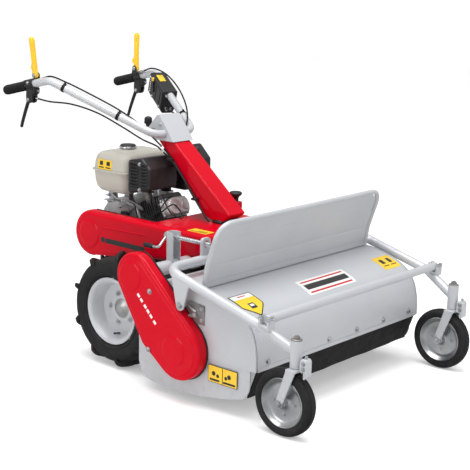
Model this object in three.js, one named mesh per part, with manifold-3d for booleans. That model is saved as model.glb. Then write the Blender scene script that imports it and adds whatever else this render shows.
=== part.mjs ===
// Walk-behind flail mower: a two-wheeled tractor unit with an engine and a swivelling handlebar
// column behind, and a belt-driven flail deck carried on a U-shaped caster frame in front.
// Millimetres. +X is the machine's left, -Y is forward (the deck), +Z is up, the ground is z = 0.
// Sub-assemblies are drawn with y = 0 at the drive axle, and the whole is then moved so that the
// middle of its footprint is the origin.
import * as THREE from 'three';
import { mergeVertices } from 'three/addons/utils/BufferGeometryUtils.js';
import Module from 'manifold-3d';

const wasm = await Module();
wasm.setup();

// ---- driving dimensions -------------------------------------------------------------------
const GAP = 0.3; // between pieces that touch
const RUNNING = 0.6; // between a pin and its bore

const TRACK = 800; // between the middles of the drive wheels
const DRIVE_TYRE_R = 240;
const DRIVE_TYRE_W = 124;
const DRIVE_RIM_R = 140;
const LUG_HEIGHT = 20;
const LUG_SLANT = 0.6; // how far a lug leans round the tread for each mm across it
const LUG_PAIRS = 9;
const AXLE_HOUSING_R = 42;
const HUB_LENGTH = 78; // from the wheel's disc in to the axle housing

const DECK_WIDTH = 1068; // over the side plates
const DECK_SHEET = 4;
const SKID_THICKNESS = 6;
const HOOD_FRONT_Y = -841;
const ROTOR_Y = -487;
const ROTOR_Z = 217;
const ROTOR_TUBE_R = 50;
const ROTOR_SHAFT_R = 20;
const FLAIL_R = 165; // to the tips of the flails
const FLAIL_COUNT = 16;
const FLAP_TOP_Z = 198;
const FLAP_DROP = 108;
const FLAP_THICKNESS = 5;
const GUARD_HALF = 524;
const GUARD_TOP_Z = 711;
const GUARD_CORNER_R = 70;
const GUARD_RIM_R = 10;
const GUARD_SHEET = 3;

const JACK_Y = -240; // the jackshaft that takes the drive out to the belt
const JACK_Z = 456;
const JACK_HOUSING_R = 28;
const JACK_SHAFT_R = 14;
const BELT_CASE_DEPTH = 46;
const BELT_CASE_WALL = 3;
const BELT_WIDTH = 18;
const BELT_THICKNESS = 9;
const BELT_SEAT = 6; // from the pulley groove to the belt
const PULLEY_R = 58;

const FRAME_TUBE_R = 19; // the U-shaped caster frame
const FRAME_SIDE_X = 558;
const FRAME_BEND_R = 75;
const FRAME_REAR_Y = -415;
const FRAME_REAR_Z = 515;
const FRAME_PIVOT_Y = -500;
const FRAME_PIVOT_Z = 392;
const BUMPER_R = 17;
const CRANK_X = -345;
const CRANK_Z = 577;
const CRANK_SCREW_R = 8;

const CASTER_R = 126;
const CASTER_W = 56;
const CASTER_RIM_R = 93;
const CASTER_TRAIL = 41;
const CASTER_CLEARANCE = 6; // from the tyre back to the hood
const STEM_X = 525;
const STEM_R = 22;
const STEM_BORE_R = 14;
const STEM_LENGTH = 100;
const CROWN_THICKNESS = 9;
const FORK_GAP = 5; // between the tyre and each fork leg
const FORK_LEG = 7;
const CASTER_AXLE_R = 8;

const COVER_SIDE_X = -260; // the red body cover's outer face
const COVER_LEFT_X = 190;
const COVER_TOP_Z = 580;
const COVER_END_R = 100;
const COVER_WALL = 3;

const BED_Z = 400; // the engine stands here
const CRANKSHAFT_Y = 300;
const CRANKSHAFT_Z = 506;
const CYLINDER_LEAN = 22.5; // degrees above the horizontal
const TANK = { x0: -182, x1: 132, y0: 200, y1: 430, z0: 648, seam: 745, z1: 826 };

const COLUMN_WIDTH = 100;
const COLUMN_WALL = 4;
const COLUMN_Y = -215; // the swivel's axis
const COLUMN_TOP_Z = 893;
const HEAD_WALL = 6;

const BAR_R = 17; // handlebar tube
const BAR_Y = 91;
const BAR_Z = 924;
const BAR_CORNER_X = 118;
const BAR_KNEE = [321, 523, 1129];
const BAR_END = [335, 800, 1064];
const BAR_BEND_R = 70;
const GRIP_WALL = 3.5;
const GRIP_LENGTH = 145;
const LEVER_HEIGHT = 165;

// ---- materials ----------------------------------------------------------------------------
const paint = (color, roughness, metalness = 0) =>
  new THREE.MeshStandardMaterial({ color, roughness, metalness });
const RED = paint('#c8102e', 0.32);
const SILVER = paint('#c5c8cc', 0.42);
const ZINC = paint('#b8bcc2', 0.3, 1);
const ALLOY = paint('#a9abad', 0.5, 0.9);
const BLACK_STEEL = paint('#1c1c1e', 0.5);
const BLACK_PLASTIC = paint('#18181a', 0.6);
const RUBBER = paint('#1a1a1b', 0.85);
const CREAM = paint('#dcd8cb', 0.35);
const YELLOW = paint('#f2bf12', 0.4);

// ---- solid helpers ------------------------------------------------------------------------
function toSolid(geometry) {
  const bare = geometry.clone();
  bare.deleteAttribute('normal');
  bare.deleteAttribute('uv');
  const merged = mergeVertices(bare, 1e-3);
  const index = merged.index.array;
  const kept = [];
  for (let i = 0; i < index.length; i += 3) {
    const [a, b, c] = index.slice(i, i + 3);
    if (a !== b && b !== c && c !== a) kept.push(a, b, c);
  }
  return new wasm.Manifold(new wasm.Mesh({
    numProp: 3,
    vertProperties: new Float32Array(merged.attributes.position.array),
    triVerts: new Uint32Array(kept),
  }));
}

function toGeometry(solid) {
  const mesh = solid.getMesh();
  const geometry = new THREE.BufferGeometry();
  geometry.setAttribute('position', new THREE.BufferAttribute(mesh.vertProperties, 3));
  geometry.setIndex(new THREE.BufferAttribute(mesh.triVerts, 1));
  geometry.computeVertexNormals();
  return geometry;
}

const join = (...shapes) => toGeometry(shapes.map(toSolid).reduce((all, next) => all.add(next)));
const cut = (body, ...tools) =>
  toGeometry(tools.map(toSolid).reduce((left, tool) => left.subtract(tool), toSolid(body)));
const common = (a, b) => toGeometry(toSolid(a).intersect(toSolid(b)));

const ALONG = {
  x: new THREE.Matrix4().set(0, 0, 1, 0, 1, 0, 0, 0, 0, 1, 0, 0, 0, 0, 0, 1),
  y: new THREE.Matrix4().set(1, 0, 0, 0, 0, 0, -1, 0, 0, 1, 0, 0, 0, 0, 0, 1),
  z: new THREE.Matrix4(),
};

// A flat outline extruded along an axis. Along x it is drawn in (y, z), along y in (x, z) and
// along z in (x, y). A bevel rounds the rims of both end faces inside the outline.
function extrude(axis, outline, from, to, { holes = [], bevel = 0, bevelSegments = 1 } = {}) {
  const [low, high] = axis === 'y' ? [-Math.max(from, to), -Math.min(from, to)]
    : [Math.min(from, to), Math.max(from, to)];
  const toPoints = (points) => points.map(([a, b]) => new THREE.Vector2(a, b));
  const shape = new THREE.Shape(toPoints(outline));
  shape.holes = holes.map((hole) => new THREE.Path(toPoints(hole)));
  const geometry = new THREE.ExtrudeGeometry(shape, {
    depth: high - low - 2 * bevel,
    curveSegments: 1,
    bevelEnabled: bevel > 0,
    bevelThickness: bevel,
    bevelSize: bevel,
    bevelOffset: -bevel,
    bevelSegments,
  });
  geometry.translate(0, 0, low + bevel);
  return geometry.applyMatrix4(ALONG[axis]);
}

function box(x0, x1, y0, y1, z0, z1) {
  const geometry = new THREE.BoxGeometry(Math.abs(x1 - x0), Math.abs(y1 - y0), Math.abs(z1 - z0));
  return geometry.translate((x0 + x1) / 2, (y0 + y1) / 2, (z0 + z1) / 2);
}

function rod(from, to, radius, sides = 16, endRadius = radius) {
  const a = new THREE.Vector3(...from);
  const b = new THREE.Vector3(...to);
  const along = b.clone().sub(a);
  const geometry = new THREE.CylinderGeometry(endRadius, radius, along.length(), sides);
  const turn = new THREE.Quaternion().setFromUnitVectors(
    new THREE.Vector3(0, 1, 0), along.clone().normalize());
  const middle = a.add(b).multiplyScalar(0.5);
  return geometry.applyQuaternion(turn).translate(middle.x, middle.y, middle.z);
}

// A profile of [radius, distance along the axis] turned round an axis through a point.
function turned(axis, centre, profile, sides = 16) {
  const points = profile.map(([r, along]) => new THREE.Vector2(r, along));
  const geometry = new THREE.LatheGeometry(points, sides);
  if (axis === 'x') geometry.rotateZ(-Math.PI / 2);
  if (axis === 'z') geometry.rotateX(Math.PI / 2);
  return geometry.translate(...centre);
}

// A tyre and its rim are turned with the same number of sides, so that their facets match.
const WHEEL_SIDES = 20;
const closed = (profile) => [...profile, profile[0]];

// A flat bar's outline: the drawn line is one face and the bar's thickness lies on its left.
function strip(line, thickness) {
  const points = line.map(([a, b]) => new THREE.Vector2(a, b));
  const offset = points.map((point, i) => {
    const before = points[Math.max(i - 1, 0)];
    const after = points[Math.min(i + 1, points.length - 1)];
    const inward = i > 0 ? point.clone().sub(before).normalize() : after.clone().sub(point).normalize();
    const outward = i < points.length - 1 ? after.clone().sub(point).normalize() : inward.clone();
    const bisector = inward.clone().add(outward).normalize();
    const spread = thickness / Math.max(bisector.dot(inward), 0.3);
    return point.clone().add(new THREE.Vector2(-bisector.y, bisector.x).multiplyScalar(spread));
  });
  return [...points, ...offset.reverse()].map((p) => [p.x, p.y]);
}

function circle(centre, radius, sides = 24) {
  return Array.from({ length: sides }, (_, i) => {
    const angle = (2 * Math.PI * i) / sides;
    return [centre[0] + radius * Math.cos(angle), centre[1] + radius * Math.sin(angle)];
  });
}

// The taut outline round several circles, as a belt or a belt's cover lies.
function around(circles, grow = 0, sides = 24) {
  const points = circles.flatMap(([y, z, r]) => circle([y, z], r + grow, sides));
  points.sort((p, q) => p[0] - q[0] || p[1] - q[1]);
  const turn = (o, a, b) => (a[0] - o[0]) * (b[1] - o[1]) - (a[1] - o[1]) * (b[0] - o[0]);
  const half = (list) => {
    const hull = [];
    for (const p of list) {
      while (hull.length > 1 && turn(hull.at(-2), hull.at(-1), p) <= 1e-6) hull.pop();
      hull.push(p);
    }
    return hull.slice(0, -1);
  };
  return [...half(points), ...half([...points].reverse())];
}

// A rounded rectangle from one corner to the other.
function rounded(a0, a1, b0, b1, radius, steps = 3) {
  const corners = [[a1 - radius, b1 - radius, 0], [a0 + radius, b1 - radius, 90],
    [a0 + radius, b0 + radius, 180], [a1 - radius, b0 + radius, 270]];
  return corners.flatMap(([a, b, start]) => Array.from({ length: steps + 1 }, (_, i) => {
    const angle = THREE.MathUtils.degToRad(start + (90 * i) / steps);
    return [a + radius * Math.cos(angle), b + radius * Math.sin(angle)];
  }));
}

// A bent tube's centreline: straight runs joined by an arc at each corner, with stations only
// where the line turns.
class BentLine extends THREE.Curve {
  constructor(corners, bendRadius, arcSteps = 3) {
    super();
    const points = corners.map((corner) => new THREE.Vector3(...corner));
    this.stations = [points[0]];
    for (let i = 1; i < points.length - 1; i += 1) {
      const into = points[i].clone().sub(points[i - 1]);
      const out = points[i + 1].clone().sub(points[i]);
      const bend = into.angleTo(out);
      const room = 0.48 * Math.min(into.length(), out.length());
      const setback = Math.min(bendRadius * Math.tan(bend / 2), room);
      const start = points[i].clone().addScaledVector(into.normalize(), -setback);
      const end = points[i].clone().addScaledVector(out.normalize(), setback);
      const arc = new THREE.QuadraticBezierCurve3(start, points[i], end);
      this.stations.push(...arc.getPoints(arcSteps));
    }
    this.stations.push(points.at(-1));
  }

  get steps() {
    return this.stations.length - 1;
  }

  getSpacedPoints() {
    return this.stations.map((station) => station.clone());
  }

  getTangentAt(u) {
    const i = Math.round(u * this.steps);
    const before = this.stations[Math.max(i - 1, 0)];
    const after = this.stations[Math.min(i + 1, this.steps)];
    return after.clone().sub(before).normalize();
  }
}

function tube(line, radius, sides = 12) {
  const section = new THREE.Shape(circle([0, 0], radius, sides).map(([a, b]) => new THREE.Vector2(a, b)));
  return new THREE.ExtrudeGeometry(section, { steps: line.steps, extrudePath: line, curveSegments: 1 });
}

// A cable through hand-chosen points.
function cable(points, radius, steps, sides = 8) {
  const route = new THREE.CatmullRomCurve3(points.map((p) => new THREE.Vector3(...p)));
  const section = new THREE.Shape(circle([0, 0], radius, sides).map(([a, b]) => new THREE.Vector2(a, b)));
  return new THREE.ExtrudeGeometry(section, { steps, extrudePath: route, curveSegments: 1 });
}

const mower = new THREE.Group();
function add(name, material, geometry) {
  const mesh = new THREE.Mesh(geometry, material);
  mesh.name = name;
  mower.add(mesh);
  return mesh;
}

const SIDES = [['right', -1], ['left', 1]];
const DECK_X = DECK_WIDTH / 2; // outer face of each side plate
const DECK_IN = DECK_X - DECK_SHEET; // inner face of each side plate
const SKID_IN = DECK_IN - SKID_THICKNESS;

// ---- tractor unit -------------------------------------------------------------------------
const AXLE_END_X = TRACK / 2 - 20 - HUB_LENGTH;
const GEARCASE_FRONT = -150;
const JACK_CASE_REAR = -180;

function transmissionCase() {
  const gearcase = extrude('x', [[GEARCASE_FRONT, 190], [-110, 160], [150, 160], [190, 200],
    [190, 330], [150, 372], [-110, 372], [GEARCASE_FRONT, 300]], -95, 95);
  const axles = rod([-AXLE_END_X, 0, DRIVE_TYRE_R], [AXLE_END_X, 0, DRIVE_TYRE_R], AXLE_HOUSING_R);
  const pedestal = box(-80, 80, 60, 330, 350, BED_Z - 10);
  const bed = box(-150, 150, 110, 430, BED_Z - 14, BED_Z - GAP);
  const nose = box(-50, 50, JACK_CASE_REAR + GAP, GEARCASE_FRONT + 30, 200, 420);
  const hitch = box(-35, 35, 180, 455, 286, 330);
  const hitchPlate = box(-90, 90, 443, 455, 262, 352);
  const pinHole = rod([0, 425, 270], [0, 425, 340], 11, 16);
  return cut(join(gearcase, axles, pedestal, bed, nose, hitch, hitchPlate), pinHole);
}
add('transmission_case', BLACK_STEEL, transmissionCase());

// The cover's side view: level on top, a half-round rear end and a sloping lower edge.
function coverOutline(inset) {
  const r = COVER_END_R - inset;
  const y = 340;
  const z = COVER_TOP_Z - COVER_END_R;
  const rear = Array.from({ length: 11 }, (_, i) => {
    const angle = Math.PI / 2 - (Math.PI * i) / 10;
    return [y + r * Math.cos(angle), z + r * Math.sin(angle)];
  });
  return [...rear, [-145, 441 + inset], [-352 + inset, 500 + inset], [-352 + inset, z + r]];
}

const TURRET_R = 40;
const TURRET_PIN_R = 16;
function bodyCover() {
  const shell = extrude('x', coverOutline(0), COVER_SIDE_X, COVER_LEFT_X,
    { bevel: 12 });
  const hollow = extrude('x', coverOutline(COVER_WALL), COVER_SIDE_X + COVER_WALL,
    COVER_LEFT_X - COVER_WALL, { bevel: 10 });
  const openBottom = extrude('x', [[-400, 380], [-345, 502], [-145, 445], [330, 384], [330, 300],
    [-400, 300]], COVER_SIDE_X + COVER_WALL, COVER_LEFT_X - COVER_WALL);
  const engineBay = box(COVER_SIDE_X + 46, COVER_LEFT_X + 20, -20, 460, 300, 640);
  const housingNotch = rod([COVER_SIDE_X - 10, JACK_Y, JACK_Z], [COVER_LEFT_X + 10, JACK_Y, JACK_Z],
    JACK_HOUSING_R + RUNNING);
  const pinHole = rod([0, COLUMN_Y, 560], [0, COLUMN_Y, 600], TURRET_PIN_R + 2 * RUNNING);
  return cut(shell, hollow, openBottom, engineBay, housingNotch, pinHole);
}
add('body_cover', RED, bodyCover());

// ---- engine -------------------------------------------------------------------------------
const LEAN = THREE.MathUtils.degToRad(CYLINDER_LEAN);
const ENGINE_X = -30;
// A point at a distance out along the leaning cylinder, with a sideways and a normal offset.
const onCylinder = (out, normal = 0) => [
  CRANKSHAFT_Y - out * Math.cos(LEAN) + normal * Math.sin(LEAN),
  CRANKSHAFT_Z + out * Math.sin(LEAN) + normal * Math.cos(LEAN),
];
const cylinderBlock = (x0, x1, out0, out1, half) => extrude('x', [onCylinder(out0, -half),
  onCylinder(out1, -half), onCylinder(out1, half), onCylinder(out0, half)], x0, x1);
const CYLINDER_START = 130;
const HEAD_END = 262;
const ROCKER_END = 300;

function engineCrankcase() {
  const body = extrude('x', [[190, BED_Z], [400, BED_Z], [408, 560], [370, 610], [235, 610],
    onCylinder(CYLINDER_START, 62), onCylinder(CYLINDER_START, -62)], -118, 108);
  const foot = box(-130, 108, 150, 415, BED_Z, BED_Z + 10);
  const boss = rod([-150, CRANKSHAFT_Y, CRANKSHAFT_Z], [0, CRANKSHAFT_Y, CRANKSHAFT_Z], 52);
  const legs = [-105, 70].map((x) => box(x, x + 24, 250, 385, 600, TANK.z0 - GAP));
  const shaftBore = rod([-160, CRANKSHAFT_Y, CRANKSHAFT_Z], [-60, CRANKSHAFT_Y, CRANKSHAFT_Z], 14);
  return cut(join(body, foot, boss, ...legs), shaftBore);
}
add('engine_crankcase', ALLOY, engineCrankcase());

function cylinder() {
  const barrel = cylinderBlock(ENGINE_X - 50, ENGINE_X + 50, CYLINDER_START + GAP, HEAD_END, 46);
  const finPitch = 13;
  const fins = Array.from({ length: 10 }, (_, i) => CYLINDER_START + 8 + finPitch * i)
    .map((out) => cylinderBlock(ENGINE_X - 72, ENGINE_X + 72, out, out + 4, 64));
  return join(barrel, ...fins);
}
add('cylinder', ALLOY, cylinder());

function rockerCover() {
  const lid = cylinderBlock(ENGINE_X - 78, ENGINE_X + 78, HEAD_END + GAP, ROCKER_END - 8, 42);
  const face = onCylinder(ROCKER_END - 10);
  const disc = onCylinder(ROCKER_END);
  const x = ENGINE_X - 22;
  return join(lid, rod([x, ...face], [x, ...disc], 36, 20));
}
add('rocker_cover', ALLOY, rockerCover());

const FUEL_CAP = [-25, 345];
function fuelTank() {
  const { x0, x1, y0, y1, z0, seam, z1 } = TANK;
  const outline = (grow) => rounded(x0 - grow, x1 + grow, y0 - grow, y1 + grow, 40 + grow);
  const upper = extrude('z', outline(-8), z0, z1, { bevel: 22, bevelSegments: 2 });
  const flange = extrude('z', outline(0), seam - 4, seam + 4);
  const neck = rod([FUEL_CAP[0], FUEL_CAP[1], z1 - 5], [FUEL_CAP[0], FUEL_CAP[1], z1 + 4], 30);
  return join(upper, flange, neck);
}
add('fuel_tank', CREAM, fuelTank());
add('fuel_cap', BLACK_PLASTIC, turned('z', [...FUEL_CAP, TANK.z1 + 4 + GAP],
  [[0, 0], [36, 0], [38, 4], [38, 12], [30, 17], [0, 17]], 20));

// The exhaust guard leans back a little and its top front edge is cut away under the column.
const EXHAUST_X = ENGINE_X - 60;
const GUARD_BOX = { x0: -172, x1: -8, wall: 3, slots: 8 };
const exhaustOutline = (inset) => [[64 + inset, 690 + inset], [196 - inset, 668 + inset],
  [196 - inset, 814 - inset], [112, 828 - inset], [64 + inset, 782]];
function mufflerGuard() {
  const { x0, x1, wall, slots } = GUARD_BOX;
  const shell = extrude('x', exhaustOutline(0), x0, x1);
  const hollow = extrude('x', exhaustOutline(wall), x0 + wall, x1 + 20);
  const rows = Array.from({ length: slots }, (_, i) => 702 + 14 * i);
  const louvres = rows.flatMap((z) => [[76, 118], [132, 182]].map(([y0, y1]) =>
    box(x0 - 2, x0 + wall + 2, y0, y1, z, z + 6)));
  const pipeHole = rod([EXHAUST_X, 150, 640], [EXHAUST_X, 150, 720], 19, 14);
  return cut(shell, hollow, pipeHole, ...louvres);
}
add('muffler_guard', BLACK_STEEL, mufflerGuard());

function muffler() {
  const can = extrude('x', exhaustOutline(14), -154, -30, { bevel: 14 });
  const pipe = rod([EXHAUST_X, 150, 700], [EXHAUST_X, 150, 612], 15, 14);
  return cut(join(can, pipe), cylinderBlock(ENGINE_X - 73, ENGINE_X + 73, 0, HEAD_END + 5, 65));
}
add('muffler', BLACK_STEEL, muffler());

function airCleaner() {
  const lid = extrude('x', [[78, 660], [192, 660], [192, 838], [142, 850], [128, 846], [78, 792]],
    66, 232, { bevel: 10 });
  const intake = rod([0, 150, 718], [70, 150, 718], 26, 14);
  const elbow = rod([18, 150, 718], [18, 150, 660], 22, 14);
  return join(lid, intake, elbow);
}
add('air_cleaner', BLACK_PLASTIC, airCleaner());

function recoilStarter() {
  const x = 108 + GAP;
  const housing = turned('x', [x, CRANKSHAFT_Y, CRANKSHAFT_Z],
    [[0, 0], [104, 0], [104, 40], [92, 58], [0, 64]], 20);
  const handle = box(x + 30, x + 44, 196, 216, 560, 604);
  return join(housing, handle, box(x + 32, x + 42, 200, 230, 545, 570));
}
add('recoil_starter', BLACK_STEEL, recoilStarter());

function pulley(x0, x1, centre, radius) {
  const middle = (x0 + x1) / 2;
  return turned('x', [0, ...centre], [[0, x0], [radius + 5, x0], [radius + 5, x0 + 3],
    [radius - 6, middle], [radius + 5, x1 - 3], [radius + 5, x1], [0, x1]], 18);
}
add('crankshaft_pulley', ZINC, join(
  pulley(-246, -222, [CRANKSHAFT_Y, CRANKSHAFT_Z], 52),
  rod([-224, CRANKSHAFT_Y, CRANKSHAFT_Z], [-64, CRANKSHAFT_Y, CRANKSHAFT_Z], 14 - RUNNING)));

// ---- flail deck ---------------------------------------------------------------------------
const HOOD_LINE = [[HOOD_FRONT_Y, 202], [-836, 284], [-813, 352], [-764, 402], [-663, 441],
  [-559, 459], [-420, 462], [-330, 440], [-280, 370], [-258, 260], [-252, 150]];
const hoodTopAt = (y) => {
  const i = HOOD_LINE.findIndex(([pointY]) => pointY > y);
  const [[y0, z0], [y1, z1]] = [HOOD_LINE[i - 1], HOOD_LINE[i]];
  return z0 + ((z1 - z0) * (y - y0)) / (y1 - y0);
};
const reversedHood = [...HOOD_LINE].reverse();
add('deck_hood', SILVER, extrude('x', strip(reversedHood, DECK_SHEET), -SKID_IN + GAP, SKID_IN - GAP));

const EAR_R = 42;
function deckSide(side) {
  const sheetEdge = [...HOOD_LINE.slice(0, 8), [-292, 486], [-262, JACK_Z + EAR_R],
    [JACK_Y + 18, JACK_Z + EAR_R - 4], [JACK_Y + EAR_R, JACK_Z], [JACK_Y + 20, JACK_Z - EAR_R],
    [-250, 300], [-244, 204]];
  const sheet = extrude('x', sheetEdge, side * DECK_IN, side * DECK_X);
  const skid = extrude('x', [[-241, 230], [-241, 108], [-262, 60], [-300, 40], [-523, 37],
    [-747, 75], [-785, 89], [-806, 118], [-812, 150], [-812, 230]], side * SKID_IN, side * (DECK_IN + 1));
  const bores = [
    rod([side * 400, JACK_Y, JACK_Z], [side * 600, JACK_Y, JACK_Z], JACK_SHAFT_R + 6),
    rod([side * 400, ROTOR_Y, ROTOR_Z], [side * 600, ROTOR_Y, ROTOR_Z], ROTOR_SHAFT_R + RUNNING),
  ];
  if (side < 0) return cut(join(sheet, skid), ...bores);
  const bearing = rod([DECK_X - 1, ROTOR_Y, ROTOR_Z], [DECK_X + 20, ROTOR_Y, ROTOR_Z], 46);
  return cut(join(sheet, skid, bearing), ...bores);
}
for (const [name, side] of SIDES) add(`deck_side_${name}`, SILVER, deckSide(side));

function frontFlap() {
  const front = HOOD_FRONT_Y + DECK_SHEET + 2;
  return extrude('x', strip([[front + 41, FLAP_TOP_Z - FLAP_DROP], [front, FLAP_TOP_Z]],
    -FLAP_THICKNESS), -SKID_IN + 3, SKID_IN - 3);
}
add('front_flap', RUBBER, frontFlap());

// The guard stands on the hood and leans forward; a tube is rolled round its edge.
const GUARD_FOOT = [-566, hoodTopAt(-566) + 1.5];
const GUARD_BEND = [-579, 543];
const GUARD_TOP = [-636, GUARD_TOP_Z];
const GUARD_RIM_X = GUARD_HALF - GUARD_RIM_R;
function guardRimTube(radius) {
  const corners = [[-GUARD_RIM_X, ...GUARD_FOOT], [-GUARD_RIM_X, ...GUARD_BEND],
    [-GUARD_RIM_X, ...GUARD_TOP], [GUARD_RIM_X, ...GUARD_TOP], [GUARD_RIM_X, ...GUARD_BEND],
    [GUARD_RIM_X, ...GUARD_FOOT]];
  return tube(new BentLine(corners, GUARD_CORNER_R), radius, 10);
}
function guardPanel() {
  const sheet = extrude('x', strip([GUARD_FOOT, GUARD_BEND, GUARD_TOP], GUARD_SHEET),
    -GUARD_RIM_X, GUARD_RIM_X);
  const face = rounded(-GUARD_RIM_X, GUARD_RIM_X, 300, GUARD_TOP_Z, GUARD_CORNER_R, 6);
  return cut(common(sheet, extrude('y', face, -700, -500)), guardRimTube(GUARD_RIM_R + GAP));
}
add('guard_panel', SILVER, guardPanel());
add('guard_rim', SILVER, guardRimTube(GUARD_RIM_R));

// ---- drive to the rotor -------------------------------------------------------------------
const CASE_BACK_X = -(DECK_X + GAP);
const CASE_BACK_THICKNESS = 5;
const COVER_IN_X = CASE_BACK_X - CASE_BACK_THICKNESS - GAP;
const BELT_COVER_X = COVER_IN_X - BELT_CASE_DEPTH;
const CASE_CIRCLES = [[-258, 456, 95], [ROTOR_Y, ROTOR_Z, 120], [-342, 236, 50]];
const BELT_X0 = (COVER_IN_X + BELT_COVER_X) / 2 - BELT_WIDTH / 2;
const BELT_X1 = BELT_X0 + BELT_WIDTH;

function jackshaftHousing() {
  const housing = rod([-(DECK_IN - GAP), JACK_Y, JACK_Z], [DECK_IN - GAP, JACK_Y, JACK_Z], JACK_HOUSING_R);
  const gearHead = box(-70, 70, -300, JACK_CASE_REAR, 400, 520);
  const turret = rod([0, COLUMN_Y, 500], [0, COLUMN_Y, COVER_TOP_Z - COVER_WALL - GAP], TURRET_R);
  const top = CRANK_Z + 16;
  const web = box(CRANK_X - 18, CRANK_X + 18, JACK_Y + 8, JACK_Y + 14, JACK_Z + 15, top);
  const flanges = [-18, 12].map((x) =>
    box(CRANK_X + x, CRANK_X + x + 6, JACK_Y - 22, JACK_Y + 14, JACK_Z + 15, top));
  const screwHole = rod([CRANK_X, JACK_Y - 60, CRANK_Z], [CRANK_X, JACK_Y + 60, CRANK_Z],
    CRANK_SCREW_R + RUNNING, 16);
  const shaftBore = rod([-DECK_X, JACK_Y, JACK_Z], [-30, JACK_Y, JACK_Z], JACK_SHAFT_R + 6);
  const pinBore = rod([0, COLUMN_Y, 545], [0, COLUMN_Y, 600], TURRET_PIN_R + RUNNING);
  return cut(join(housing, gearHead, turret, web, ...flanges), screwHole, shaftBore, pinBore);
}
add('jackshaft_housing', SILVER, jackshaftHousing());

const beltCircles = (grow) => around([[JACK_Y, JACK_Z, PULLEY_R], [ROTOR_Y, ROTOR_Z, PULLEY_R]], grow);
add('belt_case_back', BLACK_STEEL, extrude('x', around(CASE_CIRCLES, 4), CASE_BACK_X - CASE_BACK_THICKNESS,
  CASE_BACK_X, { holes: [circle([JACK_Y, JACK_Z], JACK_SHAFT_R + 6),
    circle([ROTOR_Y, ROTOR_Z], ROTOR_SHAFT_R + 4)] }));

function beltCover() {
  const shell = extrude('x', around(CASE_CIRCLES, 0), BELT_COVER_X, COVER_IN_X);
  const face = extrude('x', around(CASE_CIRCLES, 0), BELT_COVER_X, COVER_IN_X + 60,
    { bevel: 14, bevelSegments: 2 });
  const hollow = extrude('x', around(CASE_CIRCLES, -BELT_CASE_WALL), BELT_COVER_X + BELT_CASE_WALL,
    COVER_IN_X + 60, { bevel: 12 });
  return cut(common(shell, face), hollow);
}
add('belt_cover', RED, beltCover());
add('flail_belt', RUBBER, extrude('x', beltCircles(BELT_SEAT + BELT_THICKNESS), BELT_X0, BELT_X1,
  { holes: [beltCircles(BELT_SEAT)] }));

add('jackshaft', ZINC, join(
  pulley(BELT_X0 - 2, BELT_X1 + 2, [JACK_Y, JACK_Z], PULLEY_R),
  rod([BELT_X0 - 4, JACK_Y, JACK_Z], [-36, JACK_Y, JACK_Z], JACK_SHAFT_R)));

function flailRotor() {
  const barrelEnd = SKID_IN - 8;
  const barrel = rod([-barrelEnd, ROTOR_Y, ROTOR_Z], [barrelEnd, ROTOR_Y, ROTOR_Z], ROTOR_TUBE_R, 16);
  const shaft = rod([BELT_X0 - 4, ROTOR_Y, ROTOR_Z], [DECK_X + 14, ROTOR_Y, ROTOR_Z],
    ROTOR_SHAFT_R - RUNNING, 16);
  const pitch = (2 * barrelEnd - 80) / (FLAIL_COUNT - 1);
  const flails = Array.from({ length: FLAIL_COUNT }, (_, i) => {
    const knife = box(-20, 20, -5, 5, ROTOR_TUBE_R - 8, FLAIL_R);
    knife.rotateX(THREE.MathUtils.degToRad(137.5 * i));
    return knife.translate(-barrelEnd + 40 + pitch * i, ROTOR_Y, ROTOR_Z);
  });
  return join(barrel, shaft, pulley(BELT_X0 - 2, BELT_X1 + 2, [ROTOR_Y, ROTOR_Z], PULLEY_R), ...flails);
}
add('flail_rotor', BLACK_STEEL, flailRotor());

// ---- caster frame -------------------------------------------------------------------------
const STEM_Y = HOOD_FRONT_Y - CASTER_CLEARANCE - CASTER_R - CASTER_TRAIL;
const STEM_BOTTOM = 2 * CASTER_R + CROWN_THICKNESS + 3;
const STEM_MID = STEM_BOTTOM + 0.58 * STEM_LENGTH;
const ELBOW_Y = STEM_Y + 152; // where each side tube bends down to its stem
const ELBOW_Z = STEM_MID + 74;
const BUMPER_Y = STEM_Y + 114;
const BUMPER_Z = ELBOW_Z - 12 + FRAME_TUBE_R + BUMPER_R;
const stemAxis = (side, z) => [side * STEM_X, STEM_Y, z];

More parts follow.
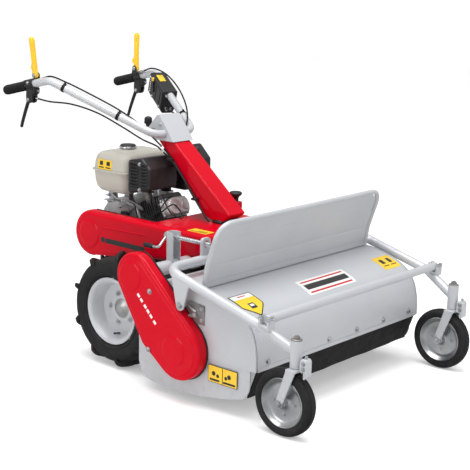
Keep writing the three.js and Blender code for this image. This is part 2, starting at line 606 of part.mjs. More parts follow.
function frameTube() {
  const run = (side) => [[side * STEM_X, STEM_Y + 4, STEM_MID],
    [side * FRAME_SIDE_X, ELBOW_Y, ELBOW_Z], [side * FRAME_SIDE_X, FRAME_REAR_Y, FRAME_REAR_Z]];
  const bent = tube(new BentLine([...run(-1), ...run(1).reverse()], FRAME_BEND_R), FRAME_TUBE_R, 12);
  const ears = [-1, 1].flatMap((side) => {
    const outer = FRAME_SIDE_X + FRAME_TUBE_R - 1;
    const plate = extrude('x', [[-545, 486], [-455, 506], [-484, 388], [-489, 381], [-500, 376],
      [-511, 381], [-516, 388]], side * (outer - 7), side * outer);
    const spacer = rod([side * (DECK_X + GAP), FRAME_PIVOT_Y, FRAME_PIVOT_Z],
      [side * (outer + 10), FRAME_PIVOT_Y, FRAME_PIVOT_Z], 9, 12);
    return [plate, spacer];
  });
  const bracketTop = CRANK_Z + 24;
  const bracket = extrude('y', rounded(CRANK_X - 24, CRANK_X + 24, FRAME_REAR_Z, bracketTop, 10, 2),
    FRAME_REAR_Y - 6, FRAME_REAR_Y + 6);
  const slot = rod([CRANK_X, FRAME_REAR_Y - 30, CRANK_Z], [CRANK_X, FRAME_REAR_Y + 30, CRANK_Z],
    CRANK_SCREW_R + 7, 18);
  const saddles = [-1, 1].map((side) => box(side * (FRAME_SIDE_X - 22), side * (FRAME_SIDE_X + 16),
    BUMPER_Y - 22, BUMPER_Y + 22, ELBOW_Z - 16, BUMPER_Z - BUMPER_R - GAP));
  const sockets = [-1, 1].map((side) => rod(stemAxis(side, 0), stemAxis(side, 500), STEM_R + GAP, 18));
  return cut(join(bent, ...ears, bracket, ...saddles), slot, ...sockets);
}
add('frame_tube', SILVER, frameTube());
add('bumper_tube', SILVER, rod([-FRAME_SIDE_X, BUMPER_Y, BUMPER_Z], [FRAME_SIDE_X, BUMPER_Y, BUMPER_Z],
  BUMPER_R, 16));

const CRANK_GRIP = [CRANK_X - 50, 534];
function crankScrew() {
  const y = JACK_Y + 14;
  const screw = rod([CRANK_X, FRAME_REAR_Y - 26, CRANK_Z], [CRANK_X, y + 10, CRANK_Z], CRANK_SCREW_R, 16);
  const collar = rod([CRANK_X, y + GAP, CRANK_Z], [CRANK_X, y + 24, CRANK_Z], 13, 16);
  const nut = rod([CRANK_X, JACK_Y - 40, CRANK_Z], [CRANK_X, JACK_Y - 24, CRANK_Z], 14, 6);
  const arm = tube(new BentLine([[CRANK_X - 4, y + 17, CRANK_Z - 4],
    [CRANK_GRIP[0], y + 17, CRANK_GRIP[1]], [CRANK_GRIP[0], y + 46, CRANK_GRIP[1]]], 12, 3), 5.5, 10);
  return join(screw, collar, nut, arm);
}
add('crank_screw', ZINC, crankScrew());
add('crank_grip', BLACK_PLASTIC, turned('y', [CRANK_GRIP[0], JACK_Y + 60 + GAP, CRANK_GRIP[1]],
  [[0, 0], [8, 0], [9.5, 6], [9.5, 44], [7, 50], [0, 50]], 16));

function stem(side) {
  const sleeve = rod(stemAxis(side, STEM_BOTTOM), stemAxis(side, STEM_BOTTOM + STEM_LENGTH), STEM_R, 18);
  return cut(sleeve, rod(stemAxis(side, 0), stemAxis(side, 600), STEM_BORE_R, 18));
}

const CROWN_TOP = STEM_BOTTOM - RUNNING;
const CROWN_BOTTOM = CROWN_TOP - CROWN_THICKNESS;
const LEG_IN = CASTER_W / 2 + FORK_GAP;
const LEG_OUT = LEG_IN + FORK_LEG;
const CASTER_Y = STEM_Y + CASTER_TRAIL;
function casterFork(side) {
  const x = side * STEM_X;
  const crown = box(x - LEG_OUT, x + LEG_OUT, STEM_Y - 26, STEM_Y + 16, CROWN_BOTTOM, CROWN_TOP);
  const legOutline = [[STEM_Y - 26, CROWN_TOP], [STEM_Y + 16, CROWN_TOP], [CASTER_Y + 15, CASTER_R + 4],
    [CASTER_Y + 11, CASTER_R - 10], [CASTER_Y, CASTER_R - 15], [CASTER_Y - 11, CASTER_R - 10],
    [CASTER_Y - 15, CASTER_R + 4]];
  const legs = [-1, 1].map((end) => extrude('x', legOutline, x + end * LEG_IN, x + end * LEG_OUT));
  const axle = rod([x - LEG_OUT - 9, CASTER_Y, CASTER_R], [x + LEG_OUT + 9, CASTER_Y, CASTER_R],
    CASTER_AXLE_R, 12);
  const heads = [-1, 1].map((end) => rod([x + end * LEG_OUT, CASTER_Y, CASTER_R],
    [x + end * (LEG_OUT + 7), CASTER_Y, CASTER_R], 13, 6));
  const pin = rod([x, STEM_Y, CROWN_BOTTOM + 2], [x, STEM_Y, STEM_BOTTOM + STEM_LENGTH + 2],
    STEM_BORE_R - RUNNING, 14);
  const capBase = STEM_BOTTOM + STEM_LENGTH + RUNNING;
  const cap = turned('z', [x, STEM_Y, capBase], [[0, 0], [20, 0], [20, 3], [12, 9], [0, 10]], 14);
  const lock = join(box(x - 12, x + 12, STEM_Y - 44, STEM_Y - 20, CROWN_BOTTOM, CROWN_TOP),
    rod([x, STEM_Y - 35, CROWN_BOTTOM], [x, STEM_Y - 35, CROWN_TOP + 34], 7, 12));
  return join(crown, ...legs, axle, ...heads, pin, cap, lock);
}

function casterTyre(side) {
  const half = CASTER_W / 2;
  const inner = CASTER_RIM_R + GAP;
  return turned('x', [side * STEM_X, CASTER_Y, CASTER_R], closed([[inner, -half + 4],
    [inner + 10, -half], [CASTER_R - 12, -half + 1], [CASTER_R - 2, -half + 12], [CASTER_R, 0],
    [CASTER_R - 2, half - 12], [CASTER_R - 12, half - 1], [inner + 10, half], [inner, half - 4]]),
  WHEEL_SIDES);
}

function casterRim(side) {
  const bore = CASTER_AXLE_R + 2 * RUNNING;
  const half = CASTER_W / 2;
  return turned('x', [side * STEM_X, CASTER_Y, CASTER_R], closed([[bore, -half - 3], [20, -half - 3],
    [22, -8], [72, -5], [86, -half + 6], [CASTER_RIM_R, -half + 6], [CASTER_RIM_R, half - 6],
    [86, half - 6], [72, 5], [22, 8], [20, half + 3], [bore, half + 3]]), WHEEL_SIDES);
}

for (const [name, side] of SIDES) {
  add(`stem_${name}`, SILVER, stem(side));
  add(`caster_fork_${name}`, SILVER, casterFork(side));
  add(`caster_tyre_${name}`, RUBBER, casterTyre(side));
  add(`caster_rim_${name}`, ZINC, casterRim(side));
}

// ---- drive wheels -------------------------------------------------------------------------
function driveTyre(side) {
  const half = DRIVE_TYRE_W / 2;
  const tread = DRIVE_TYRE_R - LUG_HEIGHT;
  const inner = DRIVE_RIM_R + GAP;
  const carcass = turned('x', [0, 0, 0], closed([[inner, -half + 14], [inner + 14, -half + 2],
    [inner + 42, -half], [tread - 8, -half + 10], [tread, 0], [tread - 8, half - 10],
    [inner + 42, half], [inner + 14, half - 2], [inner, half - 14]]), WHEEL_SIDES);
  const lugs = Array.from({ length: 2 * LUG_PAIRS }, (_, i) => {
    const hand = i % 2 ? 1 : -1;
    const lug = box(2, half, -9, 9, tread - 16, DRIVE_TYRE_R);
    const corners = lug.attributes.position;
    for (let c = 0; c < corners.count; c += 1) {
      const [x, y, r] = [corners.getX(c), corners.getY(c), corners.getZ(c)];
      const angle = (y + LUG_SLANT * x) / r;
      const radius = r > tread && x > 10 ? r - 5 : r;
      corners.setXYZ(c, x, radius * Math.sin(angle), radius * Math.cos(angle));
    }
    if (hand < 0) lug.rotateZ(Math.PI);
    return lug.rotateX((Math.PI * i) / LUG_PAIRS);
  });
  return join(carcass, ...lugs).translate(side * TRACK / 2, 0, DRIVE_TYRE_R);
}

function driveRim(side) {
  const half = DRIVE_TYRE_W / 2 - 12;
  const r = DRIVE_RIM_R;
  const dish = turned('x', [0, 0, 0], closed([[30, -16], [96, -16], [122, -half], [r, -half - 4],
    [126, -half + 14], [126, half - 10], [r, half + 4], [118, half], [110, -10], [30, -8]]),
  WHEEL_SIDES);
  const hub = join(rod([-14, 0, 0], [-20 - HUB_LENGTH + RUNNING, 0, 0], 36, 16),
    rod([4, 0, 0], [-22, 0, 0], 40, 16));
  const bolts = circle([0, 0], 62, 5).map(([y, z]) => rod([-10, y, z], [2, y, z], 9, 6));
  const rim = join(dish, hub, ...bolts);
  if (side < 0) rim.rotateZ(Math.PI);
  return rim.translate(side * TRACK / 2, 0, DRIVE_TYRE_R);
}
for (const [name, side] of SIDES) {
  add(`drive_tyre_${name}`, RUBBER, driveTyre(side));
  add(`drive_rim_${name}`, SILVER, driveRim(side));
}

// ---- handlebar column ---------------------------------------------------------------------
const COLUMN_X = COLUMN_WIDTH / 2;
const COLUMN_FOOT_Z = COVER_TOP_Z + GAP;
const COLUMN_LINE = { frontTop: [41, COLUMN_TOP_Z], rearTop: [136, COLUMN_TOP_Z], rearFoot: [-142, 600],
  frontFoot: [-283, 623] };
const KNOB = [COLUMN_X + 29, -199];
function handleColumn() {
  const { frontTop, rearTop, rearFoot, frontFoot } = COLUMN_LINE;
  const outline = [frontTop, rearTop, rearFoot, [-180, 590], [-240, 590], frontFoot];
  const post = extrude('x', outline, -COLUMN_X, COLUMN_X);
  const w = COLUMN_WALL;
  const hollow = extrude('x', [[frontTop[0] + 2 * w, COLUMN_TOP_Z + 10], [rearTop[0] - w, COLUMN_TOP_Z + 10],
    [rearTop[0] - 1.5 * w, COLUMN_TOP_Z - 6], [rearFoot[0] - w, 640], [frontFoot[0] + 40, 650]],
  -COLUMN_X + w, COLUMN_X - w);
  const foot = rod([0, COLUMN_Y, COLUMN_FOOT_Z], [0, COLUMN_Y, 600], 56, 28);
  const pin = rod([0, COLUMN_Y, 548], [0, COLUMN_Y, 592], TURRET_PIN_R - GAP, 20);
  const boss = box(COLUMN_X - 1, COLUMN_X + 50, -226, -172, 592, 656);
  const plungerBore = rod([KNOB[0], KNOB[1], 610], [KNOB[0], KNOB[1], 700], 8 + RUNNING, 16);
  return cut(join(cut(post, hollow), foot, pin, boss), plungerBore);
}
add('handle_column', RED, handleColumn());
add('column_knob', BLACK_PLASTIC, turned('z', [...KNOB, 656 + GAP],
  [[0, -32], [8, -32], [8, 0], [13, 0], [13, 14], [17, 22], [27, 30], [27, 38], [20, 42], [0, 43]], 14));

const GEAR_PIVOT = [COLUMN_X + GAP, -38, 770];
function gearLever() {
  const [x, y, z] = GEAR_PIVOT;
  const hub = rod([x, y, z], [x + 14, y, z], 12, 16);
  const shank = rod([x + 9, y, z], [x + 18, y + 58, z + 70], 4.5, 8);
  const knob = turned('z', [x + 18, y + 56, z + 58],
    [[0, 0], [10, 2], [15, 14], [14, 30], [7, 38], [0, 39]], 14);
  return join(hub, shank, knob);
}
add('gear_lever', BLACK_PLASTIC, gearLever());

const HEAD_X = COLUMN_X + 12;
function clampHead() {
  const foot = COLUMN_TOP_Z + GAP;
  const outline = [[34, foot], [150, foot], [178, 948], [132, 1000], [116, 1000]];
  const shell = extrude('x', outline, -HEAD_X, HEAD_X, { bevel: 5 });
  const w = HEAD_WALL;
  const hollow = extrude('x', [[34 + 3 * w, foot + w], [230, foot + w], [230, 1010 - 2 * w],
    [116 + w, 1000 - w]], -HEAD_X + w, HEAD_X - w);
  const barHole = rod([-HEAD_X - 5, BAR_Y, BAR_Z], [HEAD_X + 5, BAR_Y, BAR_Z], BAR_R + RUNNING, 16);
  const lug = box(-HEAD_X, -HEAD_X + 24, 140, 208, 922, 944);
  const screwHole = rod([-HEAD_X + 11, 195, 900], [-HEAD_X + 11, 195, 960], 5, 12);
  return cut(join(cut(shell, hollow), lug), barHole, screwHole);
}
add('clamp_head', SILVER, clampHead());
add('height_knob', BLACK_PLASTIC, turned('z', [-HEAD_X + 11, 195, 944 + GAP],
  [[0, -18], [5 - RUNNING, -18], [5 - RUNNING, 0], [9, 0], [9, 6], [14, 12], [15, 34], [11, 42],
    [0, 43]], 16));

// ---- handlebar ----------------------------------------------------------------------------
const mirrored = (point, side) => [side * point[0], point[1], point[2]];
const GRIP_DIR = new THREE.Vector3(...BAR_END).sub(new THREE.Vector3(...BAR_KNEE)).normalize();
// A twelve-sided bore that clears the twelve-sided tube however it is turned.
const BAR_BORE_R = (BAR_R + 0.05) / Math.cos(Math.PI / 12);
// A point on the hand end of the tube, measured back from its end.
const fromEnd = (distance) => new THREE.Vector3(...BAR_END).addScaledVector(GRIP_DIR, -distance).toArray();

function barCorners() {
  const half = [[BAR_CORNER_X, BAR_Y, BAR_Z], BAR_KNEE, fromEnd(6)];
  return [...half.map((p) => mirrored(p, -1)).reverse(), ...half];
}
add('handlebar_tube', SILVER, tube(new BentLine(barCorners(), BAR_BEND_R), BAR_R, 12));

function grip(side) {
  const sleeve = rod(mirrored(fromEnd(GRIP_LENGTH), side), mirrored(fromEnd(0), side), BAR_R + GRIP_WALL, 12);
  const bore = rod(mirrored(fromEnd(GRIP_LENGTH + 10), side), mirrored(fromEnd(5), side), BAR_BORE_R, 12);
  return cut(sleeve, bore);
}

const PERCH_AT = fromEnd(172);
const LEVER_PIVOT = [PERCH_AT[1], PERCH_AT[2] + BAR_R + 21];
const BRAKE_PIVOT = [PERCH_AT[1] + 8, PERCH_AT[2] - BAR_R - 49];
const PIN_R = 4;
function perch(side) {
  const [px, py, pz] = PERCH_AT;
  const x = (offset) => side * (px + offset);
  const over = (height) => pz + BAR_R + height;
  const under = (depth) => pz - BAR_R - depth;
  const ring = rod(mirrored(fromEnd(152), side), mirrored(fromEnd(192), side), BAR_R + 8, 12);
  const saddle = box(x(-36), x(0), py - 16, py + 16, over(-7), over(6));
  const cheek = extrude('x', [[py - 16, over(-7)], [py + 16, over(-7)], [py + 12, over(27)],
    [py, over(35)], [py - 12, over(27)]], x(-36), x(-30));
  const body = extrude('x', [[py - 18, pz], [py + 13, pz], [py + 22, under(33)], [py + 20, under(57)],
    [py + 4, under(65)], [py - 14, under(59)], [py - 20, under(33)]], x(-16), x(16));
  const clevis = box(x(-7), x(7), py - 40, py + 40, under(33), under(83));
  const bore = rod(mirrored(fromEnd(130), side), mirrored(fromEnd(235), side), BAR_BORE_R, 12);
  const leverPin = rod([x(-31), ...LEVER_PIVOT], [x(-9), ...LEVER_PIVOT], PIN_R, 12);
  const brakePin = rod([x(-12), ...BRAKE_PIVOT], [x(12), ...BRAKE_PIVOT], PIN_R, 12);
  const ferrule = rod([x(-20), py - 10, pz + 18], [x(-20), py - 44, pz + 26], 6, 10);
  return join(cut(join(ring, saddle, cheek, body, ferrule), clevis, bore), leverPin, brakePin);
}

function dropLever(side) {
  const [y, z] = LEVER_PIVOT;
  const px = PERCH_AT[0];
  const top = z + LEVER_HEIGHT;
  const outline = [[y - 12, z - 6], [y - 5, z - 12], [y + 5, z - 12], [y + 13, z - 5], [y + 13, z + 14],
    [y + 8, z + 30], [y + 10, top - 14], [y + 6, top], [y - 4, top], [y - 9, top - 14], [y - 8, z + 30]];
  const blade = extrude('x', outline, side * (px - 29.6), side * (px - 11), { bevel: 3 });
  return cut(blade, rod([side * (px - 60), y, z], [side * (px + 20), y, z], PIN_R + RUNNING, 12));
}

function brakeLever(side) {
  const [y, z] = BRAKE_PIVOT;
  const px = PERCH_AT[0];
  const outline = [[y - 9, z + 2], [y - 4, z + 9], [y + 5, z + 8], [y + 12, z], [y + 22, z - 30],
    [y + 42, z - 76], [y + 70, z - 118], [y + 60, z - 126], [y + 30, z - 82], [y + 6, z - 34]];
  const bar = extrude('x', outline, side * (px - 6), side * (px + 6), { bevel: 2 });
  return cut(bar, rod([side * (px - 60), y, z], [side * (px + 60), y, z], PIN_R + RUNNING, 12));
}

for (const [name, side] of SIDES) {
  add(`grip_${name}`, RUBBER, grip(side));
  add(`perch_${name}`, BLACK_PLASTIC, perch(side));
  add(`drop_lever_${name}`, YELLOW, dropLever(side));
  add(`brake_lever_${name}`, BLACK_PLASTIC, brakeLever(side));
}

// The control box is clamped round the left arm of the handlebar, in line with the tube.
const ARM_DIR = new THREE.Vector3(...BAR_KNEE)
  .sub(new THREE.Vector3(BAR_CORNER_X, BAR_Y, BAR_Z)).normalize();
const ARM_SIDE = new THREE.Vector3(0, 0, 1).cross(ARM_DIR).normalize().negate();
const ARM_UP = ARM_SIDE.clone().cross(ARM_DIR);
const onArm = (along) => new THREE.Vector3(BAR_CORNER_X, BAR_Y, BAR_Z).addScaledVector(ARM_DIR, along);
const armPlace = (along) =>
  new THREE.Matrix4().makeBasis(ARM_SIDE, ARM_DIR, ARM_UP).setPosition(onArm(along));
const BOX_AT = 300;
const BOX_LENGTH = 180;
function controlBox() {
  const shell = extrude('y', [[-36, 24], [-40, 12], [-40, -70], [-28, -92], [24, -92], [34, -70],
    [34, 20], [30, 24]], 0, BOX_LENGTH, { bevel: 5 }).applyMatrix4(armPlace(BOX_AT));
  const bore = rod(onArm(BOX_AT - 20).toArray(), onArm(BOX_AT + BOX_LENGTH + 20).toArray(),
    BAR_BORE_R, 12);
  return cut(shell, bore);
}
add('control_box', BLACK_PLASTIC, controlBox());

function throttleLever() {
  const hub = extrude('x', circle([110, -30], 9, 14), -40 - GAP - 7, -40 - GAP);
  const arm = extrude('x', [[105, -30], [115, -30], [128, 14], [118, 16]], -40 - GAP - 6, -40 - GAP - 1);
  return join(hub, arm).applyMatrix4(armPlace(BOX_AT));
}
add('throttle_lever', ZINC, throttleLever());

// ---- control cables -----------------------------------------------------------------------
const CABLE_R = 3.5;
add('clutch_cable_right', BLACK_PLASTIC, cable([[-306, 588, 1131], [-296, 545, 1143], [-272, 470, 1122],
  [-226, 372, 1078], [-168, 250, 1022], [-122, 172, 975]], CABLE_R, 14));
add('clutch_cable_left', BLACK_PLASTIC, cable([[306, 588, 1131], [296, 520, 1150], [264, 400, 1136],
  [214, 270, 1084], [160, 170, 1016], [112, 118, 964]], CABLE_R, 14));
add('brake_cable_right', BLACK_PLASTIC, cable([[-326, 606, 1046], [-306, 545, 1036], [-262, 452, 1030],
  [-212, 345, 1000], [-160, 232, 942], [-126, 165, 890], [-104, 120, 852]], CABLE_R, 14));
add('throttle_cable', BLACK_PLASTIC, cable([[204, 338, 990], [180, 292, 986], [152, 226, 975],
  [118, 150, 955], [94, 112, 948]], CABLE_R, 10));

// ---- the middle of the footprint is the origin --------------------------------------------
const bounds = new THREE.Box3().setFromObject(mower);
mower.position.set(-(bounds.min.x + bounds.max.x) / 2, -(bounds.min.y + bounds.max.y) / 2, -bounds.min.z);

export default mower;
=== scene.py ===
# %% [markdown]
# # A walk-behind flail mower
# The machine is a two-wheeled tractor unit with a handlebar column, pushing a flail deck on a
# tubular caster frame. Its design comes in as a fixed frame of plain solids. Each visible solid is
# then given a finished piece of the same size in the same place: bent sheet with soft edges,
# swept tubes, turned wheels, moulded knobs. Drawing each piece from its own few sizes keeps it
# crisp at any distance, which smoothing the plain solids wouldn't.

# %% Load the frame
import math

import bmesh
import bpy
from mathutils import Matrix, Vector


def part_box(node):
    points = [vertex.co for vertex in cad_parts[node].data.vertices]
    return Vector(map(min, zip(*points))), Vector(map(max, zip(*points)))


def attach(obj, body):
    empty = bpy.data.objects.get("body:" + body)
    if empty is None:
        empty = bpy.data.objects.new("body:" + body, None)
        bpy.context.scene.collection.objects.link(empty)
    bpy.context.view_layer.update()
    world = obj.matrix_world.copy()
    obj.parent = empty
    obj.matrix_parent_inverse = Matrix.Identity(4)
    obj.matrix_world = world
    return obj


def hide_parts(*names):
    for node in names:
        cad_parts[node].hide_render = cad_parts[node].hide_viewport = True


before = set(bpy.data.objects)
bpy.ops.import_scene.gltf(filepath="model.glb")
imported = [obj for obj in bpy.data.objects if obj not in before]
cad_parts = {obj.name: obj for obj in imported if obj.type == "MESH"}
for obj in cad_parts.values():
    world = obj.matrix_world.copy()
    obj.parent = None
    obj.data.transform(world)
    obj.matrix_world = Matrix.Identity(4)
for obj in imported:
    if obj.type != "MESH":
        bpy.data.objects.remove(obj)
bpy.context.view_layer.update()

# %% [markdown]
# ## Where things are
# Sizes are written in millimetres with y = 0 at the drive axle, as on a workshop drawing, and are
# placed in the frame by one function. The axle's place is read from the drive tyre's own box, so
# the drawing stays on the frame. +x is the machine's left, -y is forward and the ground is z = 0.

# %% From the drawing to the frame
MM = 0.001
tyre_low, tyre_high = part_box("drive_tyre_right")
AXLE = Vector((0, (tyre_low.y + tyre_high.y) / 2, 0))
SIDES = (("right", -1), ("left", 1))


def placed(point):
    return Vector(point) * MM + AXLE


print("drive axle at", [round(v, 4) for v in AXLE])

# %% [markdown]
# ## Camera, light and floor
# The machine stands on a plain pale floor, seen from the front right and a little above, with a
# long lens. A bright even sky and three big soft lamps give the paint its broad highlights without
# hard shadows. A small studio like this could be built with many lamps, but a few large ones keep
# the reflections in the gloss paint calm.

# %% Camera
camera_data = bpy.data.cameras.new("camera")
camera_data.lens = 92.48
camera_data.sensor_width = 36
camera = bpy.data.objects.new("camera", camera_data)
bpy.context.scene.collection.objects.link(camera)
CAMERA_RIGHT = Vector((0.654856, -0.755360, 0.024376))
CAMERA_UP = Vector((0.152107, 0.163326, 0.974776))
turn = Matrix((CAMERA_RIGHT, CAMERA_UP, CAMERA_RIGHT.cross(CAMERA_UP))).transposed()
camera.matrix_world = Matrix.Translation((-3.72392, -3.31404, 1.64937)) @ turn.to_4x4()
camera_data.clip_end = 100
bpy.context.scene.camera = camera
bpy.context.scene.view_settings.view_transform = "Standard"
print("camera at", [round(v, 2) for v in camera.location])

# %% Light
world = bpy.data.worlds.new("studio")
bpy.context.scene.world = world
world.use_nodes = True
nodes, join = world.node_tree.nodes, world.node_tree.links.new
sky = nodes["Background"]
compass, split, ramp, height, backdrop, rays, choose = (nodes.new("ShaderNode" + kind) for kind in (
    "TexCoord", "SeparateXYZ", "ValToRGB", "Math", "Background", "LightPath", "MixShader"))
stops = ramp.color_ramp.elements
for place, grey in ((0.0, 0.10), (0.44, 0.16), (0.56, 0.50), (0.80, 0.82), (1.0, 1.0)):
    stop = stops[int(place)] if place in (0.0, 1.0) else stops.new(place)
    stop.color = (grey, grey, grey * 1.015, 1)
height.operation = "MULTIPLY_ADD"
height.inputs[1].default_value, height.inputs[2].default_value = 0.5, 0.5
backdrop.inputs["Color"].default_value = (1, 1, 1, 1)
backdrop.inputs["Strength"].default_value = 1.02
join(compass.outputs["Generated"], split.inputs[0])
join(split.outputs["Z"], height.inputs[0])
join(height.outputs[0], ramp.inputs[0])
join(ramp.outputs[0], sky.inputs["Color"])
sky.inputs["Strength"].default_value = 0.66
join(rays.outputs["Is Camera Ray"], choose.inputs[0])
join(sky.outputs[0], choose.inputs[1])
join(backdrop.outputs[0], choose.inputs[2])
join(choose.outputs[0], nodes["World Output"].inputs["Surface"])


def soft_lamp(name, place, aim, size, power):
    data = bpy.data.lights.new(name, "AREA")
    data.shape = "RECTANGLE"
    data.size, data.size_y = size
    data.energy = power
    lamp = bpy.data.objects.new(name, data)
    bpy.context.scene.collection.objects.link(lamp)
    lamp.location = place
    lamp.rotation_mode = "QUATERNION"
    lamp.rotation_quaternion = (Vector(aim) - Vector(place)).to_track_quat("-Z", "Y")


MIDDLE = (0, 0, 0.5)
soft_lamp("overhead", (-0.6, -0.4, 4.2), MIDDLE, (3.2, 3.2), 135)
soft_lamp("front_window", (1.2, -4.8, 2.4), MIDDLE, (1.8, 2.2), 30)
soft_lamp("side_window", (-5.0, 0.9, 2.0), MIDDLE, (1.8, 2.4), 42)
sun = bpy.data.objects.new("daylight", bpy.data.lights.new("daylight", "SUN"))
bpy.context.scene.collection.objects.link(sun)
sun.data.energy, sun.data.angle = 0.8, math.radians(60)
sun.visible_glossy = False
sun.rotation_euler = (math.radians(8), math.radians(-12), 0)

# %% [markdown]
# ## Shader arithmetic
# A finish is worked out from a few noises and masks. Wiring each sum by hand hides what it means,
# so a small class wraps a node's output and turns Python's operators into Math nodes, and one
# method makes any other node from its type, its settings and the values of its sockets.

# %% A value on a wire, and a finish
class Wire:
    """One node output. Arithmetic on it adds Math nodes to the same finish."""

    def __init__(self, finish, socket):
        self.finish, self.socket = finish, socket

    def maths(self, operation, *values):
        return self.finish.node("ShaderNodeMath", {"operation": operation}, dict(enumerate(values)))

    def __add__(self, other):
        return self.maths("ADD", self, other)

    def __radd__(self, other):
        return self.maths("ADD", other, self)

    def __sub__(self, other):
        return self.maths("SUBTRACT", self, other)

    def __rsub__(self, other):
        return self.maths("SUBTRACT", other, self)

    def __mul__(self, other):
        return self.maths("MULTIPLY", self, other)

    def __rmul__(self, other):
        return self.maths("MULTIPLY", other, self)

    def between(self, low, high):
        """0 below low, 1 above high and a straight rise between."""
        return self.finish.node("ShaderNodeMapRange", {"clamp": True},
                                {"Value": self, "From Min": low, "From Max": high})


class Finish:
    """One material, made around its Principled shader."""

    def __init__(self, name, slot):
        self.material = bpy.data.materials.new(name)
        self.material.use_nodes = True
        self.slot = slot
        self.shader = self.material.node_tree.nodes["Principled BSDF"]
        self.at = self.node("ShaderNodeTexCoord", out="Object")

    def fill(self, node, values):
        for key, value in values.items():
            socket = node.inputs[key]
            if isinstance(value, Wire):
                self.material.node_tree.links.new(value.socket, socket)
            else:
                socket.default_value = value

    def node(self, kind, settings=None, values=None, out=0):
        made = self.material.node_tree.nodes.new(kind)
        for key, value in (settings or {}).items():
            setattr(made, key, value)
        self.fill(made, values or {})
        return Wire(self, made.outputs[out])

    def noise(self, scale, detail=2.0, at=None, roughness=0.5):
        return self.node("ShaderNodeTexNoise", None, {"Vector": at or self.at, "Scale": scale,
                         "Detail": detail, "Roughness": roughness})

    def height(self):
        """Height above the ground in metres."""
        return self.node("ShaderNodeSeparateXYZ", None, {"Vector": self.at}, out="Z")

    def mix(self, share, a, b):
        """Colour a where share is 0 and colour b where it is 1."""
        made = self.material.node_tree.nodes.new("ShaderNodeMix")
        made.data_type = "RGBA"
        sockets = {s.identifier: s for s in made.inputs}
        for key, value in (("Factor_Float", share), ("A_Color", a), ("B_Color", b)):
            if isinstance(value, Wire):
                self.material.node_tree.links.new(value.socket, sockets[key])
            else:
                sockets[key].default_value = value
        result = next(s for s in made.outputs if s.identifier == "Result_Color")
        return Wire(self, result)

    def bump(self, height, strength, distance):
        return self.node("ShaderNodeBump", None, {"Height": height, "Strength": strength,
                         "Distance": distance})

    def surface(self, **values):
        self.fill(self.shader, {key.replace("_", " "): value for key, value in values.items()})
        return self


def rgb(r, g, b):
    return (r, g, b, 1.0)


# %% [markdown]
# ## Paint
# The covers are red enamel over pressed steel: a deep even colour, a clear gloss with the faint
# ripple that sprayed paint dries with, and a breath of dust low down. The deck and frame are a
# light silver-grey powder coat, which is rougher and shows a fine orange-peel texture. Both could
# be one flat colour, but the ripple is what makes a highlight look like paint.

# %% Red enamel and silver powder coat
DUST = rgb(0.30, 0.26, 0.21)


def gloss_enamel(name, slot, colour, shade, dust_share):
    f = Finish(name, slot)
    ripple = f.noise(240, 2)
    cloud = f.noise(5, 3).between(0.35, 0.7)
    low = 1 - f.height().between(0.05, 0.34)
    dust = low * f.noise(38, 5, roughness=0.65).between(0.42, 0.8) * dust_share
    f.surface(Base_Color=f.mix(dust, f.mix(cloud * 0.5, colour, shade), DUST),
              Roughness=0.30 + 0.06 * cloud + 0.35 * dust, Coat_Weight=0.32 - 0.25 * dust,
              Coat_Roughness=0.05, Specular_IOR_Level=0.02,
              Normal=f.bump(ripple, 0.04, 0.0006))
    return f


RED_PAINT = gloss_enamel("red_enamel", "red_paint", rgb(0.560, 0.0010, 0.013),
                         rgb(0.495, 0.0008, 0.010), 0.05)
CREAM_PAINT = gloss_enamel("cream_enamel", "cream_tank", rgb(0.47, 0.45, 0.40),
                           rgb(0.43, 0.41, 0.36), 0.0)


def powder_coat():
    f = Finish("silver_powder_coat", "silver_paint")
    peel = f.noise(620, 3)
    cloud = f.noise(3.5, 3).between(0.3, 0.75)
    flake = f.noise(1800, 1).between(0.48, 0.62)
    low = 1 - f.height().between(0.03, 0.30)
    dust = low * f.noise(30, 5, roughness=0.7).between(0.45, 0.85) * 0.35
    paint = f.mix(cloud, rgb(0.560, 0.575, 0.595), rgb(0.505, 0.52, 0.545))
    sparkle = f.mix(flake * 0.25, paint, rgb(0.70, 0.71, 0.73))
    f.surface(Base_Color=f.mix(dust, sparkle, DUST), Metallic=0.30,
              Roughness=0.38 + 0.10 * cloud + 0.2 * dust, Coat_Weight=0.25, Coat_Roughness=0.22,
              Normal=f.bump(peel, 0.10, 0.0004))
    return f


SILVER_PAINT = powder_coat()
print("paints:", RED_PAINT.material.name, CREAM_PAINT.material.name, SILVER_PAINT.material.name)

# %% [markdown]
# ## Rubber
# Tyre rubber is nearly black with a dusty bloom in patches, heavier near the ground. Grips
# and the flap are softer and plainer. A fine grain in the bump keeps both from looking like paint.

# %% Tyre rubber and soft rubber
def rubber(name, slot, colour, bloom, bloom_share, grain):
    f = Finish(name, slot)
    coarse = f.noise(26, 5, roughness=0.65).between(0.42, 0.78)
    fine = f.noise(grain, 4, roughness=0.7)
    low = 1 - f.height().between(0.0, 0.16)
    share = (0.35 * coarse + 0.4 * low * coarse) * bloom_share
    f.surface(Base_Color=f.mix(share, colour, bloom), Roughness=0.50 + 0.25 * coarse,
              Specular_IOR_Level=0.26, Normal=f.bump(fine, 0.25, 0.0008))
    return f


TYRE_RUBBER = rubber("tyre_rubber", "tyre", rgb(0.011, 0.011, 0.012), rgb(0.10, 0.09, 0.08), 0.40, 420)
SOFT_RUBBER = rubber("soft_rubber", "rubber", rgb(0.008, 0.008, 0.009), rgb(0.05, 0.048, 0.045), 0.35, 900)
